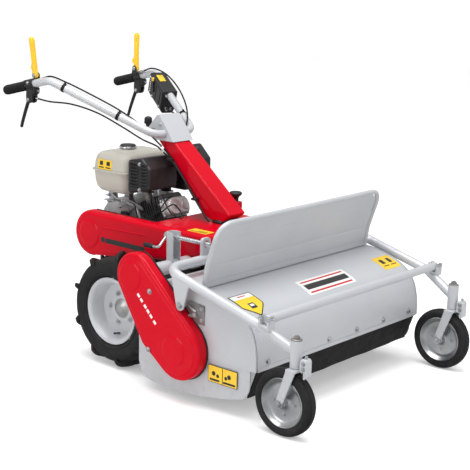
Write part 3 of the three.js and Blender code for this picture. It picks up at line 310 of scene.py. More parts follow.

# %% [markdown]
# ## Bare and plated metal
# Cast alloy has a sandy skin and cloudy darker patches, and plated steel is bright with a
# faint bluish tint. Each metal mixes a lighter and a darker tone by a broad noise. Roughness
# does most of this work, so it is never one number.

# %% Alloy, zinc, chrome and worn steel
def metal(name, slot, light, dark, rough, grain, bump, metallic=1.0):
    f = Finish(name, slot)
    cloud = f.noise(14, 4, roughness=0.6).between(0.3, 0.75)
    sand = f.noise(grain, 3)
    f.surface(Base_Color=f.mix(cloud, light, dark), Metallic=metallic,
              Roughness=rough + 0.16 * cloud + 0.08 * sand,
              Normal=f.bump(sand, bump, 0.0006))
    return f


CAST_ALLOY = metal("cast_alloy", "alloy", rgb(0.66, 0.66, 0.65), rgb(0.42, 0.42, 0.41), 0.30, 700, 0.30, 0.85)
ZINC_PLATE = metal("zinc_plate", "zinc", rgb(0.72, 0.73, 0.74), rgb(0.52, 0.535, 0.55), 0.20, 1500, 0.06)
CHROME = metal("chrome", "zinc", rgb(0.84, 0.85, 0.86), rgb(0.74, 0.75, 0.77), 0.05, 900, 0.01)
WORN_STEEL = metal("worn_steel", "zinc", rgb(0.42, 0.41, 0.40), rgb(0.17, 0.155, 0.145), 0.38, 260, 0.5, 0.8)

# %% [markdown]
# ## Black steel, moulded plastic and plates
# Stove-black steel has a dull sheen with rubbed lighter patches. Moulded plastic has a spark-eroded
# grain. The yellow of the levers and plates is a warm signal yellow, and printed marks are flat.

# %% Black steel, plastics and print
def dull_black(name, slot, colour, rubbed, rough, grain, bump):
    f = Finish(name, slot)
    cloud = f.noise(22, 4, roughness=0.6).between(0.45, 0.8)
    skin = f.noise(grain, 3)
    f.surface(Base_Color=f.mix(cloud * 0.6, colour, rubbed), Roughness=rough + 0.15 * cloud,
              Specular_IOR_Level=0.5, Normal=f.bump(skin, bump, 0.0005))
    return f


BLACK_STEEL = dull_black("black_steel", "black_steel", rgb(0.012, 0.012, 0.013),
                         rgb(0.032, 0.031, 0.031), 0.36, 800, 0.12)
BLACK_PLASTIC = dull_black("black_plastic", "black_plastic", rgb(0.011, 0.011, 0.012),
                           rgb(0.022, 0.022, 0.023), 0.42, 1300, 0.22)


def moulded(name, slot, colour, shade, rough):
    f = Finish(name, slot)
    cloud = f.noise(9, 3).between(0.3, 0.75)
    f.surface(Base_Color=f.mix(cloud, colour, shade), Roughness=rough + 0.1 * cloud,
              Coat_Weight=0.15, Coat_Roughness=0.15, Normal=f.bump(f.noise(900, 2), 0.05, 0.0004))
    return f


YELLOW = moulded("signal_yellow", "yellow_plastic", rgb(0.88, 0.55, 0.018), rgb(0.80, 0.47, 0.012), 0.30)
PLATE_YELLOW = moulded("plate_yellow", "yellow_plastic", rgb(0.86, 0.56, 0.02), rgb(0.80, 0.50, 0.015), 0.38)
PLATE_WHITE = moulded("plate_white", "cream_tank", rgb(0.80, 0.79, 0.76), rgb(0.74, 0.73, 0.70), 0.40)
PRINT_BLACK = moulded("print_black", "black_plastic", rgb(0.012, 0.012, 0.013), rgb(0.02, 0.02, 0.02), 0.45)
PRINT_RED = moulded("print_red", "red_paint", rgb(0.52, 0.01, 0.02), rgb(0.46, 0.01, 0.02), 0.40)
print("finishes:", len(bpy.data.materials))

# %% [markdown]
# ## A small workshop
# Nearly every part of this machine is one of a few kinds of work: a section pushed along a line, a
# profile turned round an axis, a flat outline given a thickness, or rings joined one to the next.
# Modifiers could do each of them, but drawing the corners directly lets a piece say its own sizes.
# All of them are rings of points, so one loft makes the faces for every kind.

# %% Shapes drawn in millimetres
class Shape:
    """Corners and faces of one piece, with the number of the finish of each face."""

    def __init__(self):
        self.corners, self.faces, self.colours = [], [], []

    def add(self, corners, faces, colour=0):
        start = len(self.corners)
        self.corners += [tuple(c) for c in corners]
        self.faces += [tuple(start + i for i in face) for face in faces]
        self.colours += [colour] * len(faces)
        return self

    def loft(self, rings, ends=True, round_trip=False, colour=0):
        count, last = len(rings[0]), len(rings) - 1
        faces = []
        for i in range(len(rings) if round_trip else last):
            a, b = i * count, (i + 1) % len(rings) * count
            faces += [(a + j, a + (j + 1) % count, b + (j + 1) % count, b + j) for j in range(count)]
        if ends and not round_trip:
            faces += [tuple(reversed(range(count))), tuple(range(last * count, (last + 1) * count))]
        return self.add([c for ring in rings for c in ring], faces, colour)


def on_axis(axis, along, u, v):
    return {"x": (along, u, v), "y": (u, along, v), "z": (u, v, along)}[axis]


def prism(shape, axis, outline, low, high, colour=0):
    return shape.loft([[on_axis(axis, at, u, v) for u, v in outline] for at in (low, high)], colour=colour)


def box(shape, x0, x1, y0, y1, z0, z1, colour=0):
    return prism(shape, "z", [(x0, y0), (x1, y0), (x1, y1), (x0, y1)], z0, z1, colour)


def circle(centre, radius, sides=24):
    steps = (2 * math.pi * i / sides for i in range(sides))
    return [(centre[0] + radius * math.cos(a), centre[1] + radius * math.sin(a)) for a in steps]


def arc(centre, wide, high, start, sweep, steps):
    """Points along an arc, from start and through sweep, both in degrees."""
    angles = (math.radians(start + sweep * i / steps) for i in range(steps + 1))
    return [(centre[0] + wide * math.cos(a), centre[1] + high * math.sin(a)) for a in angles]


def turned(shape, axis, centre, profile, sides=64, closed=False, colour=0):
    """A profile of (radius, distance along the axis) turned round an axis through centre."""
    rings = []
    for radius, along in profile:
        ring = [on_axis(axis, along, u, v) for u, v in circle((0, 0), max(radius, 0.0), sides)]
        rings.append([Vector(c) + Vector(centre) for c in ring])
    return shape.loft(rings, ends=False, round_trip=closed, colour=colour)


def cross_frames(line):
    """A sideways direction at each point of a line, carried along it without twist."""
    points = [Vector(p) for p in line]
    ends = [points[0]] + points[:-1], points[1:] + [points[-1]]
    along = [(b - a).normalized() for a, b in zip(*ends)]
    side = along[0].orthogonal().normalized()
    sides = [side]
    for before, after in zip(along, along[1:]):
        side = before.rotation_difference(after) @ side
        sides.append((side - after * side.dot(after)).normalized())
    return points, along, sides


def swept(shape, line, radius, sides=24, colour=0, taper=None):
    """A round section along a line. taper gives a share of the radius from 0 to 1 along it."""
    points, along, across = cross_frames(line)
    rings = []
    for i, (point, ahead, side) in enumerate(zip(points, along, across)):
        r = radius * (taper(i / (len(points) - 1)) if taper else 1)
        up = ahead.cross(side)
        rings.append([point + side * u + up * v for u, v in circle((0, 0), r, sides)])
    return shape.loft(rings, colour=colour)


def rod(shape, start, end, radius, sides=32, colour=0, end_share=1.0):
    return swept(shape, [start, end], radius, sides, colour, lambda t: 1 + (end_share - 1) * t)


def bent(corners, radius, steps=12):
    """Straight runs joined by a round bend at each corner."""
    points = [Vector(c) for c in corners]
    line = [points[0]]
    for before, corner, after in zip(points, points[1:], points[2:]):
        back, ahead = before - corner, after - corner
        bend = math.pi - back.angle(ahead)
        setback = min(radius * math.tan(bend / 2), 0.48 * min(back.length, ahead.length))
        start, end = corner + back.normalized() * setback, corner + ahead.normalized() * setback
        for i in range(steps + 1):
            t = i / steps
            line.append(start * (1 - t) ** 2 + corner * 2 * t * (1 - t) + end * t * t)
    return line + [points[-1]]


def smooth_line(points, steps=8):
    """A centripetal Catmull-Rom curve through given points, as a cable lies."""
    p = [Vector(c) for c in points]
    p = [p[0] * 2 - p[1]] + p + [p[-1] * 2 - p[-2]]
    line = []
    for a, b, c, d in zip(p, p[1:], p[2:], p[3:]):
        t = [0.0]
        for u, v in ((a, b), (b, c), (c, d)):
            t.append(t[-1] + max((v - u).length, 1e-6) ** 0.5)
        for i in range(steps):
            s = t[1] + (t[2] - t[1]) * i / steps

            def between(u, v, i0, i1):
                return u * ((t[i1] - s) / (t[i1] - t[i0])) + v * ((s - t[i0]) / (t[i1] - t[i0]))

            ab, bc, cd = between(a, b, 0, 1), between(b, c, 1, 2), between(c, d, 2, 3)
            line.append(between(between(ab, bc, 0, 2), between(bc, cd, 1, 3), 1, 2))
    return line + [p[-2]]


def strip(line, thickness):
    """The outline of a bent sheet: the line is one face and the thickness lies on its left."""
    points = [Vector(p) for p in line]
    offset = []
    for i, point in enumerate(points):
        back = (point - points[i - 1]).normalized() if i else (points[1] - point).normalized()
        ahead = (points[i + 1] - point).normalized() if i + 1 < len(points) else back
        middle = (back + ahead).normalized()
        offset.append(point + Vector((-middle.y, middle.x)) * thickness / max(middle.dot(back), 0.3))
    return [tuple(p) for p in points + offset[::-1]]


def rounded(a0, a1, b0, b1, radius, steps=6):
    corners = ((a1 - radius, b1 - radius, 0), (a0 + radius, b1 - radius, 90),
               (a0 + radius, b0 + radius, 180), (a1 - radius, b0 + radius, 270))
    return [p for a, b, start in corners for p in arc((a, b), radius, radius, start, 90, steps)]


def taut(circles, sides=120):
    """The taut outline round several circles, as a function of how far it is grown. Each grown
    outline has the same number of points, so that rings of different growth can be joined."""
    marks = []
    before = None
    for i in range(sides + 1):
        angle = 2 * math.pi * i / sides
        reach = [u * math.cos(angle) + v * math.sin(angle) + r for u, v, r in circles]
        best = reach.index(max(reach))
        if before is not None and best != before[1]:
            low, high = before[0], angle
            for _ in range(30):
                mid = (low + high) / 2
                now = [u * math.cos(mid) + v * math.sin(mid) + r for u, v, r in circles]
                low, high = (mid, high) if now.index(max(now)) == before[1] else (low, mid)
            marks += [(low, before[1]), (low, best)]
        if i < sides:
            marks.append((angle, best))
        before = (angle, best)

    def outline(grow):
        return [(circles[k][0] + (circles[k][2] + grow) * math.cos(a),
                 circles[k][1] + (circles[k][2] + grow) * math.sin(a)) for a, k in marks]

    return outline


def fillet(radius, steps=6):
    """Pairs of (inset, drop) round a quarter of a circle, from the wall to the face."""
    return [(radius * (1 - math.cos(math.pi / 2 * i / steps)),
             radius * (1 - math.sin(math.pi / 2 * i / steps)))
            for i in range(steps + 1)]


def swell(steps=8):
    """Pairs of (share across, share of height) over a soft edge."""
    return [(i / steps, (1 - math.cos(math.pi * i / steps)) / 2) for i in range(steps + 1)]


print("workshop ready")

# %% [markdown]
# ## From a shape to a piece
# Real edges are never razor sharp, so most pieces get a small bevel, and weighted normals keep
# their flats flat in the reflections. The modifiers are worked into the mesh at once: a plain mesh
# poses and exports as it looks. Faces of a closed shape are turned outward after doubles merge.

# %% Make an object, work its modifiers in, and let it ride
MERGE = 2e-6


def object_of(name, shape, finishes):
    mesh = bpy.data.meshes.new(name)
    mesh.from_pydata([placed(c) for c in shape.corners], [], shape.faces)
    for finish in finishes:
        mesh.materials.append(finish.material)
    mesh.polygons.foreach_set("material_index", shape.colours)
    work = bmesh.new()
    work.from_mesh(mesh)
    bmesh.ops.remove_doubles(work, verts=work.verts, dist=MERGE)
    bmesh.ops.recalc_face_normals(work, faces=work.faces)
    work.to_mesh(mesh)
    work.free()
    obj = bpy.data.objects.new(name, mesh)
    bpy.context.scene.collection.objects.link(obj)
    return obj


def work_in(obj):
    """Replaces the object's mesh with what its modifiers make of it."""
    graph = bpy.context.evaluated_depsgraph_get()
    mesh = bpy.data.meshes.new_from_object(obj.evaluated_get(graph), depsgraph=graph,
                                           preserve_all_data_layers=True)
    obj.modifiers.clear()
    obj.data = mesh
    mesh.name = obj.name
    return obj


def carve(obj, *cutters, overlapping=False):
    for cutter in cutters:
        tool = object_of("cutter", cutter, ())
        cut = obj.modifiers.new("cut", "BOOLEAN")
        cut.operation, cut.object, cut.solver, cut.use_self = "DIFFERENCE", tool, "EXACT", overlapping
        work_in(obj)
        bpy.data.objects.remove(tool)
    return obj


def soften(obj, width, steps=3, angle=30):
    if width:
        bevel = obj.modifiers.new("soft edges", "BEVEL")
        bevel.width, bevel.segments = width * MM, steps
        bevel.limit_method, bevel.angle_limit = "ANGLE", math.radians(angle)
        work_in(obj)
    obj.data.shade_smooth()
    obj.data.set_sharp_from_angle(angle=math.radians(40))
    weigh = obj.modifiers.new("flat flats", "WEIGHTED_NORMAL")
    weigh.keep_sharp = True
    return work_in(obj)


def settle(obj, body, stands_for=()):
    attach(obj, body)
    if stands_for:
        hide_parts(*stands_for)
    return obj


def piece(name, shape, finishes, body, stands_for=(), edge=0.0, steps=3, cutters=(), overlapping=False):
    finishes = finishes if isinstance(finishes, (list, tuple)) else (finishes,)
    obj = carve(object_of(name, shape, finishes), *cutters, overlapping=overlapping)
    soften(obj, edge, steps)
    return settle(obj, body, stands_for)


# %% [markdown]
# ## What repeats
# Lugs, bolts, fins, louvres and ribs repeat round an axis or along a row. One of each is drawn, and
# a node tree makes the copies: points, an instance on each, and a turn or a step that grows with
# the point's index. The tree has named inputs, so the same two trees serve the whole machine. A
# loop could copy meshes too, but the tree keeps count, centre and spacing as plain settings.

# %% Two trees of copies
def copies_tree(name, sockets):
    tree = bpy.data.node_groups.new(name, "GeometryNodeTree")
    tree.interface.new_socket("Geometry", in_out="INPUT", socket_type="NodeSocketGeometry")
    tree.interface.new_socket("Geometry", in_out="OUTPUT", socket_type="NodeSocketGeometry")
    for label, kind in sockets:
        tree.interface.new_socket(label, in_out="INPUT", socket_type=kind)
    given = tree.nodes.new("NodeGroupInput")

    def node(kind, settings=None, **values):
        made = tree.nodes.new(kind)
        for key, value in (settings or {}).items():
            setattr(made, key, value)
        for key, value in values.items():
            key = key.replace("_", " ")
            socket = made.inputs[int(key[1:]) if key[1:].isdigit() else key]
            if isinstance(value, bpy.types.NodeSocket):
                tree.links.new(value, socket)
            else:
                socket.default_value = value
        return made

    return tree, given, node


def end_tree(tree, node, instances, finish):
    real = node("GeometryNodeRealizeInstances", Geometry=instances)
    painted = node("GeometryNodeSetMaterial", Geometry=real.outputs[0], Material=finish)
    out = tree.nodes.new("NodeGroupOutput")
    tree.links.new(painted.outputs[0], out.inputs[0])


def round_tree():
    tree, given, node = copies_tree("copies_round_an_axis", (
        ("Count", "NodeSocketInt"), ("Centre", "NodeSocketVector"), ("Axis", "NodeSocketVector"),
        ("Angle", "NodeSocketFloat"), ("Finish", "NodeSocketMaterial")))
    inward = node("ShaderNodeVectorMath", {"operation": "SCALE"}, i0=given.outputs["Centre"], Scale=-1.0)
    moved = node("GeometryNodeTransform", Geometry=given.outputs["Geometry"],
                 Translation=inward.outputs[0])
    points = node("GeometryNodePoints", Count=given.outputs["Count"])
    angle = node("ShaderNodeMath", {"operation": "MULTIPLY"}, i0=node("GeometryNodeInputIndex").outputs[0],
                 i1=given.outputs["Angle"])
    turning = node("FunctionNodeAxisAngleToRotation", Axis=given.outputs["Axis"], Angle=angle.outputs[0])
    copies = node("GeometryNodeInstanceOnPoints", Points=points.outputs[0], Instance=moved.outputs[0],
                  Rotation=turning.outputs[0])
    back = node("GeometryNodeTransform", Geometry=copies.outputs[0], Translation=given.outputs["Centre"])
    end_tree(tree, node, back.outputs[0], given.outputs["Finish"])
    return tree


def row_tree():
    tree, given, node = copies_tree("copies_in_a_row", (
        ("Count", "NodeSocketInt"), ("Step", "NodeSocketVector"), ("Finish", "NodeSocketMaterial")))
    place = node("ShaderNodeVectorMath", {"operation": "SCALE"}, i0=given.outputs["Step"],
                 Scale=node("GeometryNodeInputIndex").outputs[0])
    points = node("GeometryNodePoints", Count=given.outputs["Count"], Position=place.outputs[0])
    copies = node("GeometryNodeInstanceOnPoints", Points=points.outputs[0],
                  Instance=given.outputs["Geometry"])
    end_tree(tree, node, copies.outputs[0], given.outputs["Finish"])
    return tree


ROUND, ROW = round_tree(), row_tree()


def copied(obj, tree, **settings):
    """Runs a tree on a piece. Settings are named for the tree's inputs."""
    modifier = obj.modifiers.new(tree.name, "NODES")
    modifier.node_group = tree
    inputs = {s.name: s.identifier for s in tree.interface.items_tree if s.in_out == "INPUT"}
    for key, value in settings.items():
        modifier[inputs[key]] = value
    return work_in(obj)


def ring_of(name, shape, finish, body, count, centre, axis, angle=None, edge=0.0):
    obj = soften(object_of(name, shape, (finish,)), edge, 2)
    copied(obj, ROUND, Count=count, Centre=placed(centre), Axis=Vector(axis),
           Angle=angle or 2 * math.pi / count, Finish=finish.material)
    return settle(obj, body)


def row_of(name, shape, finish, body, count, step, edge=0.0):
    obj = soften(object_of(name, shape, (finish,)), edge, 2)
    copied(obj, ROW, Count=count, Step=Vector(step) * MM, Finish=finish.material)
    return settle(obj, body)


def hex_head(shape, start, end, radius, colour=0):
    """A bolt head or nut with a washer under it, from start out to end."""
    a, b = Vector(start), Vector(end)
    ahead = (b - a).normalized()
    rod(shape, a - ahead * 1.5, a + ahead * 1.6, radius * 1.42, 28, colour)
    return rod(shape, a, b, radius, 6, colour)


def heads(shape, places, out, radius, colour=0):
    """The same bolt head at several places."""
    for place in places:
        hex_head(shape, place, Vector(place) + Vector(out), radius, colour)
    return shape


print("trees:", ROUND.name, ROW.name)

# %% [markdown]
# ## Floor
# One large pale sheet, so that the machine throws only a soft contact shadow.

# %% Floor
def floor_finish():
    f = Finish("studio_floor", "silver_paint")
    cloud = f.noise(1.5, 2).between(0.3, 0.7)
    return f.surface(Base_Color=f.mix(cloud, rgb(0.90, 0.90, 0.90), rgb(0.88, 0.88, 0.88)), Roughness=0.8,
                     Specular_IOR_Level=0.2, Emission_Color=rgb(1, 1, 1), Emission_Strength=0.30)


FLOOR_HALF = 14000
floor_corners = [(FLOOR_HALF * u, FLOOR_HALF * v, 0) for u, v in ((-1, -1), (1, -1), (1, 1), (-1, 1))]
floor = object_of("floor", Shape().add(floor_corners, [(0, 1, 2, 3)]), (floor_finish(),))
floor.visible_glossy = False

# %% [markdown]
# ## Drive tyres
# A tractor tyre is a turned carcass with rounded shoulders and tall slanting lugs that meet the
# tread's middle from either side in turn. The carcass is one profile turned round the axle. One lug
# of each hand is drawn as rings across the tread, leaning as it goes out, and copied round.

# %% Drive tyres
TRACK, TYRE_R, TYRE_HALF, RIM_R, LUG_HEIGHT, LUG_PAIRS, LUG_SLANT = 800, 240, 62, 140, 20, 9, 0.6
TREAD_R = TYRE_R - LUG_HEIGHT


def mirrored_profile(half):
    return half + [(r, -x) for r, x in reversed(half) if abs(x) > 1e-6]


def drive_tyre(name, side):
    centre = (side * TRACK / 2, 0, TYRE_R)
    half = [(RIM_R + 0.4, -46), (RIM_R + 5, -53), (RIM_R + 9, -58), (RIM_R + 16, -60.5), (RIM_R + 19, -58.5),
            (RIM_R + 23, -60), (RIM_R + 40, -TYRE_HALF), (194, -60.5), (205, -56), (212, -48), (217, -34),
            (219, -18), (TREAD_R, 0)]
    shape = turned(Shape(), "x", centre, mirrored_profile(half), sides=144, closed=True)
    piece(f"tyre_{name}", shape, TYRE_RUBBER, f"drive_wheel_{name}", [f"drive_tyre_{name}"])
    for hand in (-1, 1):
        rings = []
        for x, top, width in ((1, 237, 9), (4, 239, 11), (12, 239.5, 11.5), (28, 238.5, 11.5), (42, 236, 11),
                              (52, 231, 10.5), (58, 224, 10), (61, 214, 8.5), (61.5, 206, 7)):
            base = min(TREAD_R - 10, top - 10)
            section = [(-width - 3, base), (-width - 1, top - 9), (-width + 1.5, top - 2), (-width + 4, top),
                       (width - 4, top), (width - 1.5, top - 2), (width + 1, top - 9), (width + 3, base)]
            ring = []
            for y, r in section:
                angle = (y + LUG_SLANT * x) / r
                ring.append((centre[0] + hand * x, hand * r * math.sin(angle), TYRE_R + r * math.cos(angle)))
            rings.append(ring)
        lug = Shape().loft(rings)
        ring_of(f"lugs_{'outer' if hand > 0 else 'inner'}_{name}", lug, TYRE_RUBBER, f"drive_wheel_{name}",
                LUG_PAIRS, centre, (1, 0, 0), edge=1.2)


for name, side in SIDES:
    drive_tyre(name, side)
print("tyres with", 2 * LUG_PAIRS, "lugs each")

# %% [markdown]
# ## Drive rims
# A pressed dish with rolled edges, welded to a hub and bolted through five holes. The rolled edge
# and the deep dish are all one turned profile; bolts and the valve are added to it.

# %% Drive rims
def drive_rim(name, side):
    body, centre = f"drive_wheel_{name}", (side * TRACK / 2, 0, TYRE_R)

    def off_axle(out, z):
        return (centre[0] + side * out, 0, TYRE_R + z)

    profile = [(30, -15.5), (88, -15.5), (98, -17), (108, -26), (116, -40), (124, -48), (136, -50),
               (139.6, -53), (139.6, -50), (130, -46), (126, -40), (126, 44), (130, 48), (139.6, 49),
               (139.8, 53), (137, 55), (131, 54), (124, 50), (118, 44), (113, 24), (109, 4), (104, -6),
               (96, -8.5), (60, -8.5), (56, -6), (44, -6), (40, -8), (30, -8)]
    shape = turned(Shape(), "x", centre, [(r, side * x) for r, x in profile], sides=128, closed=True)
    piece(f"rim_{name}", shape, SILVER_PAINT, body, [f"drive_rim_{name}"])
    profile = [(0, 6), (16, 6), (22, 4), (26, 0), (40, -6), (40, -22), (36, -24), (36, -60), (38, -62),
               (38, -96), (0, -97)]
    piece(f"hub_{name}", turned(Shape(), "x", centre, [(r, side * x) for r, x in profile]), CAST_ALLOY, body)
    bolt_y = Vector((0, 62, 0))
    bolt = hex_head(Shape(), bolt_y + Vector(off_axle(-8, 0)), bolt_y + Vector(off_axle(1, 0)), 9)
    rod(bolt, bolt_y + Vector(off_axle(0, 0)), bolt_y + Vector(off_axle(5, 0)), 5, 20)
    ring_of(f"rim_bolts_{name}", bolt, ZINC_PLATE, body, 5, centre, (1, 0, 0), edge=0.8)
    valve = rod(Shape(), off_axle(2, -104), off_axle(26, -100), 3.6, 16)
    rod(valve, off_axle(26, -100), off_axle(34, -99), 4.4, 16)
    piece(f"valve_{name}", valve, BLACK_PLASTIC, body)


for name, side in SIDES:
    drive_rim(name, side)

# %% [markdown]
# ## Casters
# Each front wheel is a small grey tyre on a bright pressed rim, in a fork of two tapered legs under
# a crown plate. The fork's pin turns in a stem on the frame, under a domed steel cap, and a
# plunger locks it straight. The wheel parts are turned; the legs are flat outlines with soft edges.

# %% Casters
CASTER_R, CASTER_HALF, CASTER_RIM_R, STEM_X, STEM_Y, STEM_R = 126, 28, 93, 525, -1014, 22
STEM_BOTTOM, STEM_TOP, CASTER_Y, LEG_IN, LEG_OUT = 264, 364, -973, 33, 40
CROWN_TOP, CROWN_BOTTOM = STEM_BOTTOM - 0.6, STEM_BOTTOM - 9.6


def caster_wheel(name, side):
    centre, body = (side * STEM_X, CASTER_Y, CASTER_R), f"caster_wheel_{name}"
    half = [(93.4, -23), (97, -26.5), (103, -27.8), (108, -27), (111, -27.6), (116, -26), (121, -21.5),
            (124.2, -15), (125, -13), (123.6, -12), (123.6, -10.5), (125.4, -9.5), (126, -4), (126, 0)]
    tyre = turned(Shape(), "x", centre, mirrored_profile(half), sides=112, closed=True)
    piece(f"caster_tyre_round_{name}", tyre, TYRE_RUBBER, body, [f"caster_tyre_{name}"])
    half = [(9.4, -31), (17, -31), (19.5, -29), (21, -12), (24, -8.5), (34, -6), (66, -4.5), (76, -7),
            (83, -14), (86.5, -21), (90, -24), (92.7, -22.4), (92.7, -19), (88.5, -17), (84, -9), (80, -3),
            (79, 0)]
    rim = turned(Shape(), "x", centre, mirrored_profile(half), sides=112, closed=True)
    piece(f"caster_rim_round_{name}", rim, ZINC_PLATE, body, [f"caster_rim_{name}"])
    for face in (-1, 1):
        bolt = hex_head(Shape(), (centre[0] + face * 5.5, CASTER_Y + 46, CASTER_R),
                        (centre[0] + face * 11, CASTER_Y + 46, CASTER_R), 6)
        ring_of(f"caster_bolts_{'in' if face * side < 0 else 'out'}_{name}", bolt, ZINC_PLATE, body, 4,
                centre, (1, 0, 0), edge=0.6)


def caster_fork(name, side):
    x, body, shape = side * STEM_X, f"caster_fork_{name}", Shape()
    box(shape, x - LEG_OUT, x + LEG_OUT, STEM_Y - 26, STEM_Y + 16, CROWN_BOTTOM, CROWN_TOP)
    foot = arc((CASTER_Y, CASTER_R), 16, 15.2, 10, -200, 10)
    outline = [(STEM_Y - 25, CROWN_BOTTOM + 2), (STEM_Y + 15, CROWN_BOTTOM + 2)] + foot
    for end in (-1, 1):
        prism(shape, "x", outline, x + end * LEG_IN, x + end * LEG_OUT)
        prism(shape, "x", [(STEM_Y - 20, CROWN_BOTTOM + 3), (STEM_Y + 10, CROWN_BOTTOM + 3),
              (STEM_Y - 4, CROWN_BOTTOM - 18)], x + end * (LEG_IN - 3), x + end * LEG_IN)
    box(shape, x - 13, x + 13, STEM_Y - 44, STEM_Y - 18, CROWN_BOTTOM + 1, CROWN_TOP - 1)
    piece(f"fork_{name}", shape, SILVER_PAINT, body, [f"caster_fork_{name}"], edge=1.4)
    steel = Shape()
    for end in (-1, 1):
        heads(steel, [(x + end * LEG_OUT, CASTER_Y, CASTER_R)], (end * 7.5, 0, 0), 12)
    rod(steel, (x - LEG_OUT - 10, CASTER_Y, CASTER_R), (x + LEG_OUT + 10, CASTER_Y, CASTER_R), 8, 28)
    rod(steel, (x, STEM_Y, CROWN_TOP - 2), (x, STEM_Y, STEM_TOP + 2), 13.4, 40)
    rod(steel, (x, STEM_Y - 35, CROWN_TOP - 4), (x, STEM_Y - 35, CROWN_TOP + 20), 7, 24)
    rod(steel, (x, STEM_Y - 35, CROWN_TOP + 20), (x, STEM_Y - 35, CROWN_TOP + 33), 4.6, 20)
    piece(f"fork_steel_{name}", steel, ZINC_PLATE, body, edge=0.7)
    cap = turned(Shape(), "z", (x, STEM_Y, STEM_TOP + 0.8),
                 [(0, 0), (20, 0), (21, 1.2), (20.4, 3.2), (16.5, 5), (16, 5.2), (0, 5.2)], 48)
    rod(cap, (x, STEM_Y, STEM_TOP + 5), (x, STEM_Y, STEM_TOP + 14), 12.5, 6)
    rod(cap, (x, STEM_Y, STEM_TOP + 13), (x, STEM_Y, STEM_TOP + 18), 7, 24)
    piece(f"fork_cap_{name}", cap, WORN_STEEL, body, edge=1)
    outline = [(STEM_Y - y, CROWN_TOP + z) for y, z in ((28, -6), (28, 34), (34, 42), (52, 42), (58, 34),
                                                        (58, -22), (50, -30), (44, -30), (44, -6))]
    piece(f"fork_lock_{name}", prism(Shape(), "x", outline, x - 17, x + 17), SILVER_PAINT, body, edge=3)
    bolts = Shape()
    for end in (-1, 1):
        heads(bolts, [(x + end * 17, STEM_Y - 45, CROWN_TOP + z) for z in (8, 28)], (end * 6, 0, 0), 6)
    rod(bolts, (x, STEM_Y - 45, CROWN_TOP + 40), (x, STEM_Y - 45, CROWN_TOP + 52), 5.5, 24)
    piece(f"fork_lock_bolts_{name}", bolts, ZINC_PLATE, body, edge=0.6)


for name, side in SIDES:
    caster_wheel(name, side)
    caster_fork(name, side)
print("casters done")

# %% [markdown]
# ## Caster frame
# One long tube runs from a caster stem back along the deck, across behind the guard, and forward to
# the other stem. Two plate ears hang it on the deck's pivot bolts. A straight bumper tube lies in
# saddles across the front. A tube along a bent line is a sweep of a round section.

# %% Frame tube, ears, stems and bumper
TUBE_R, FRAME_X, PIVOT_Y, PIVOT_Z, DECK_X = 19, 558, -500, 392, 534
BUMPER_Y, BUMPER_Z, BUMPER_R = -900, 420, 17
SCREW_X, SCREW_Z, FRAME_REAR_Y, FRAME_REAR_Z = -345, 577, -415, 515
EAR_OUT = FRAME_X + TUBE_R - 1


def frame_run(side):
    return [(side * STEM_X, STEM_Y + 8, 322), (side * FRAME_X, -862, 396),
            (side * FRAME_X, FRAME_REAR_Y, FRAME_REAR_Z)]


def frame_shape():
    shape = swept(Shape(), bent(frame_run(-1) + frame_run(1)[::-1], 75, 16), TUBE_R, 40)
    for side in (-1, 1):
        ear = [(-545, 486), (-455, 506), (-481, 392)]
        ear += arc((PIVOT_Y, PIVOT_Z - 2), 18, 17, -20, -140, 8) + [(-519, 392)]
        prism(shape, "x", ear, side * (EAR_OUT - 7), side * EAR_OUT)
    eye = rounded(SCREW_X - 24, SCREW_X + 24, FRAME_REAR_Z - 6, SCREW_Z + 24, 14)
    return prism(shape, "y", eye, FRAME_REAR_Y - 6, FRAME_REAR_Y + 6)


slot_tool = rod(Shape(), (SCREW_X, FRAME_REAR_Y - 30, SCREW_Z), (SCREW_X, FRAME_REAR_Y + 30, SCREW_Z), 15, 40)
piece("caster_frame_tube", frame_shape(), SILVER_PAINT, "caster_frame", ["frame_tube"], edge=1.2,
      cutters=[slot_tool], overlapping=True)
bumper = rod(Shape(), (-FRAME_X + 1, BUMPER_Y, BUMPER_Z), (FRAME_X - 1, BUMPER_Y, BUMPER_Z), BUMPER_R, 40)
piece("front_bumper", bumper, SILVER_PAINT, "caster_frame", ["bumper_tube"], edge=2)
for name, side in SIDES:
    stem = turned(Shape(), "z", (side * STEM_X, STEM_Y, 0),
                  [(14, STEM_BOTTOM), (STEM_R - 1, STEM_BOTTOM), (STEM_R, STEM_BOTTOM + 1),
                   (STEM_R, STEM_TOP - 1), (STEM_R - 1, STEM_TOP), (14, STEM_TOP)], 48, closed=True)
    piece(f"caster_stem_{name}", stem, SILVER_PAINT, "caster_frame", [f"stem_{name}"])
    x = side * (FRAME_X - 3)
    saddle = prism(Shape(), "x", [(BUMPER_Y - 24, 384), (BUMPER_Y + 22, 400), (BUMPER_Y + 22, 424),
                                  (BUMPER_Y + 13, 430), (BUMPER_Y + 13, 404), (BUMPER_Y - 14, 398),
                                  (BUMPER_Y - 18, 424), (BUMPER_Y - 24, 420)],
          x - 19, x + 19)
    piece(f"bumper_saddle_{name}", saddle, SILVER_PAINT, "caster_frame", edge=1)
    clamp = heads(Shape(), [(x + side * out, BUMPER_Y + y, 424) for y in (-20, 18) for out in (-10, 12)],
                  (0, 0, 10), 7)
    heads(clamp, [(side * EAR_OUT, PIVOT_Y, PIVOT_Z)], (side * 7, 0, 0), 10)
    rod(clamp, (side * (DECK_X + 0.5), PIVOT_Y, PIVOT_Z), (side * (EAR_OUT + 9.5), PIVOT_Y, PIVOT_Z), 7, 24)
    rod(clamp, (side * (DECK_X + 0.5), PIVOT_Y, PIVOT_Z), (side * (EAR_OUT - 7), PIVOT_Y, PIVOT_Z), 11, 32)
    piece(f"frame_bolts_{name}", clamp, ZINC_PLATE, "caster_frame", edge=0.8)
print("caster frame done")

# %% [markdown]
# ## Flail deck
# The hood is one sheet rolled over the rotor, closed at each end by a side plate whose lower edge
# carries a thicker skid. A smooth curve through the hood's few break points gives the rolled shape,
# and the same curve draws the top edge of the side plates, so that they meet all along.

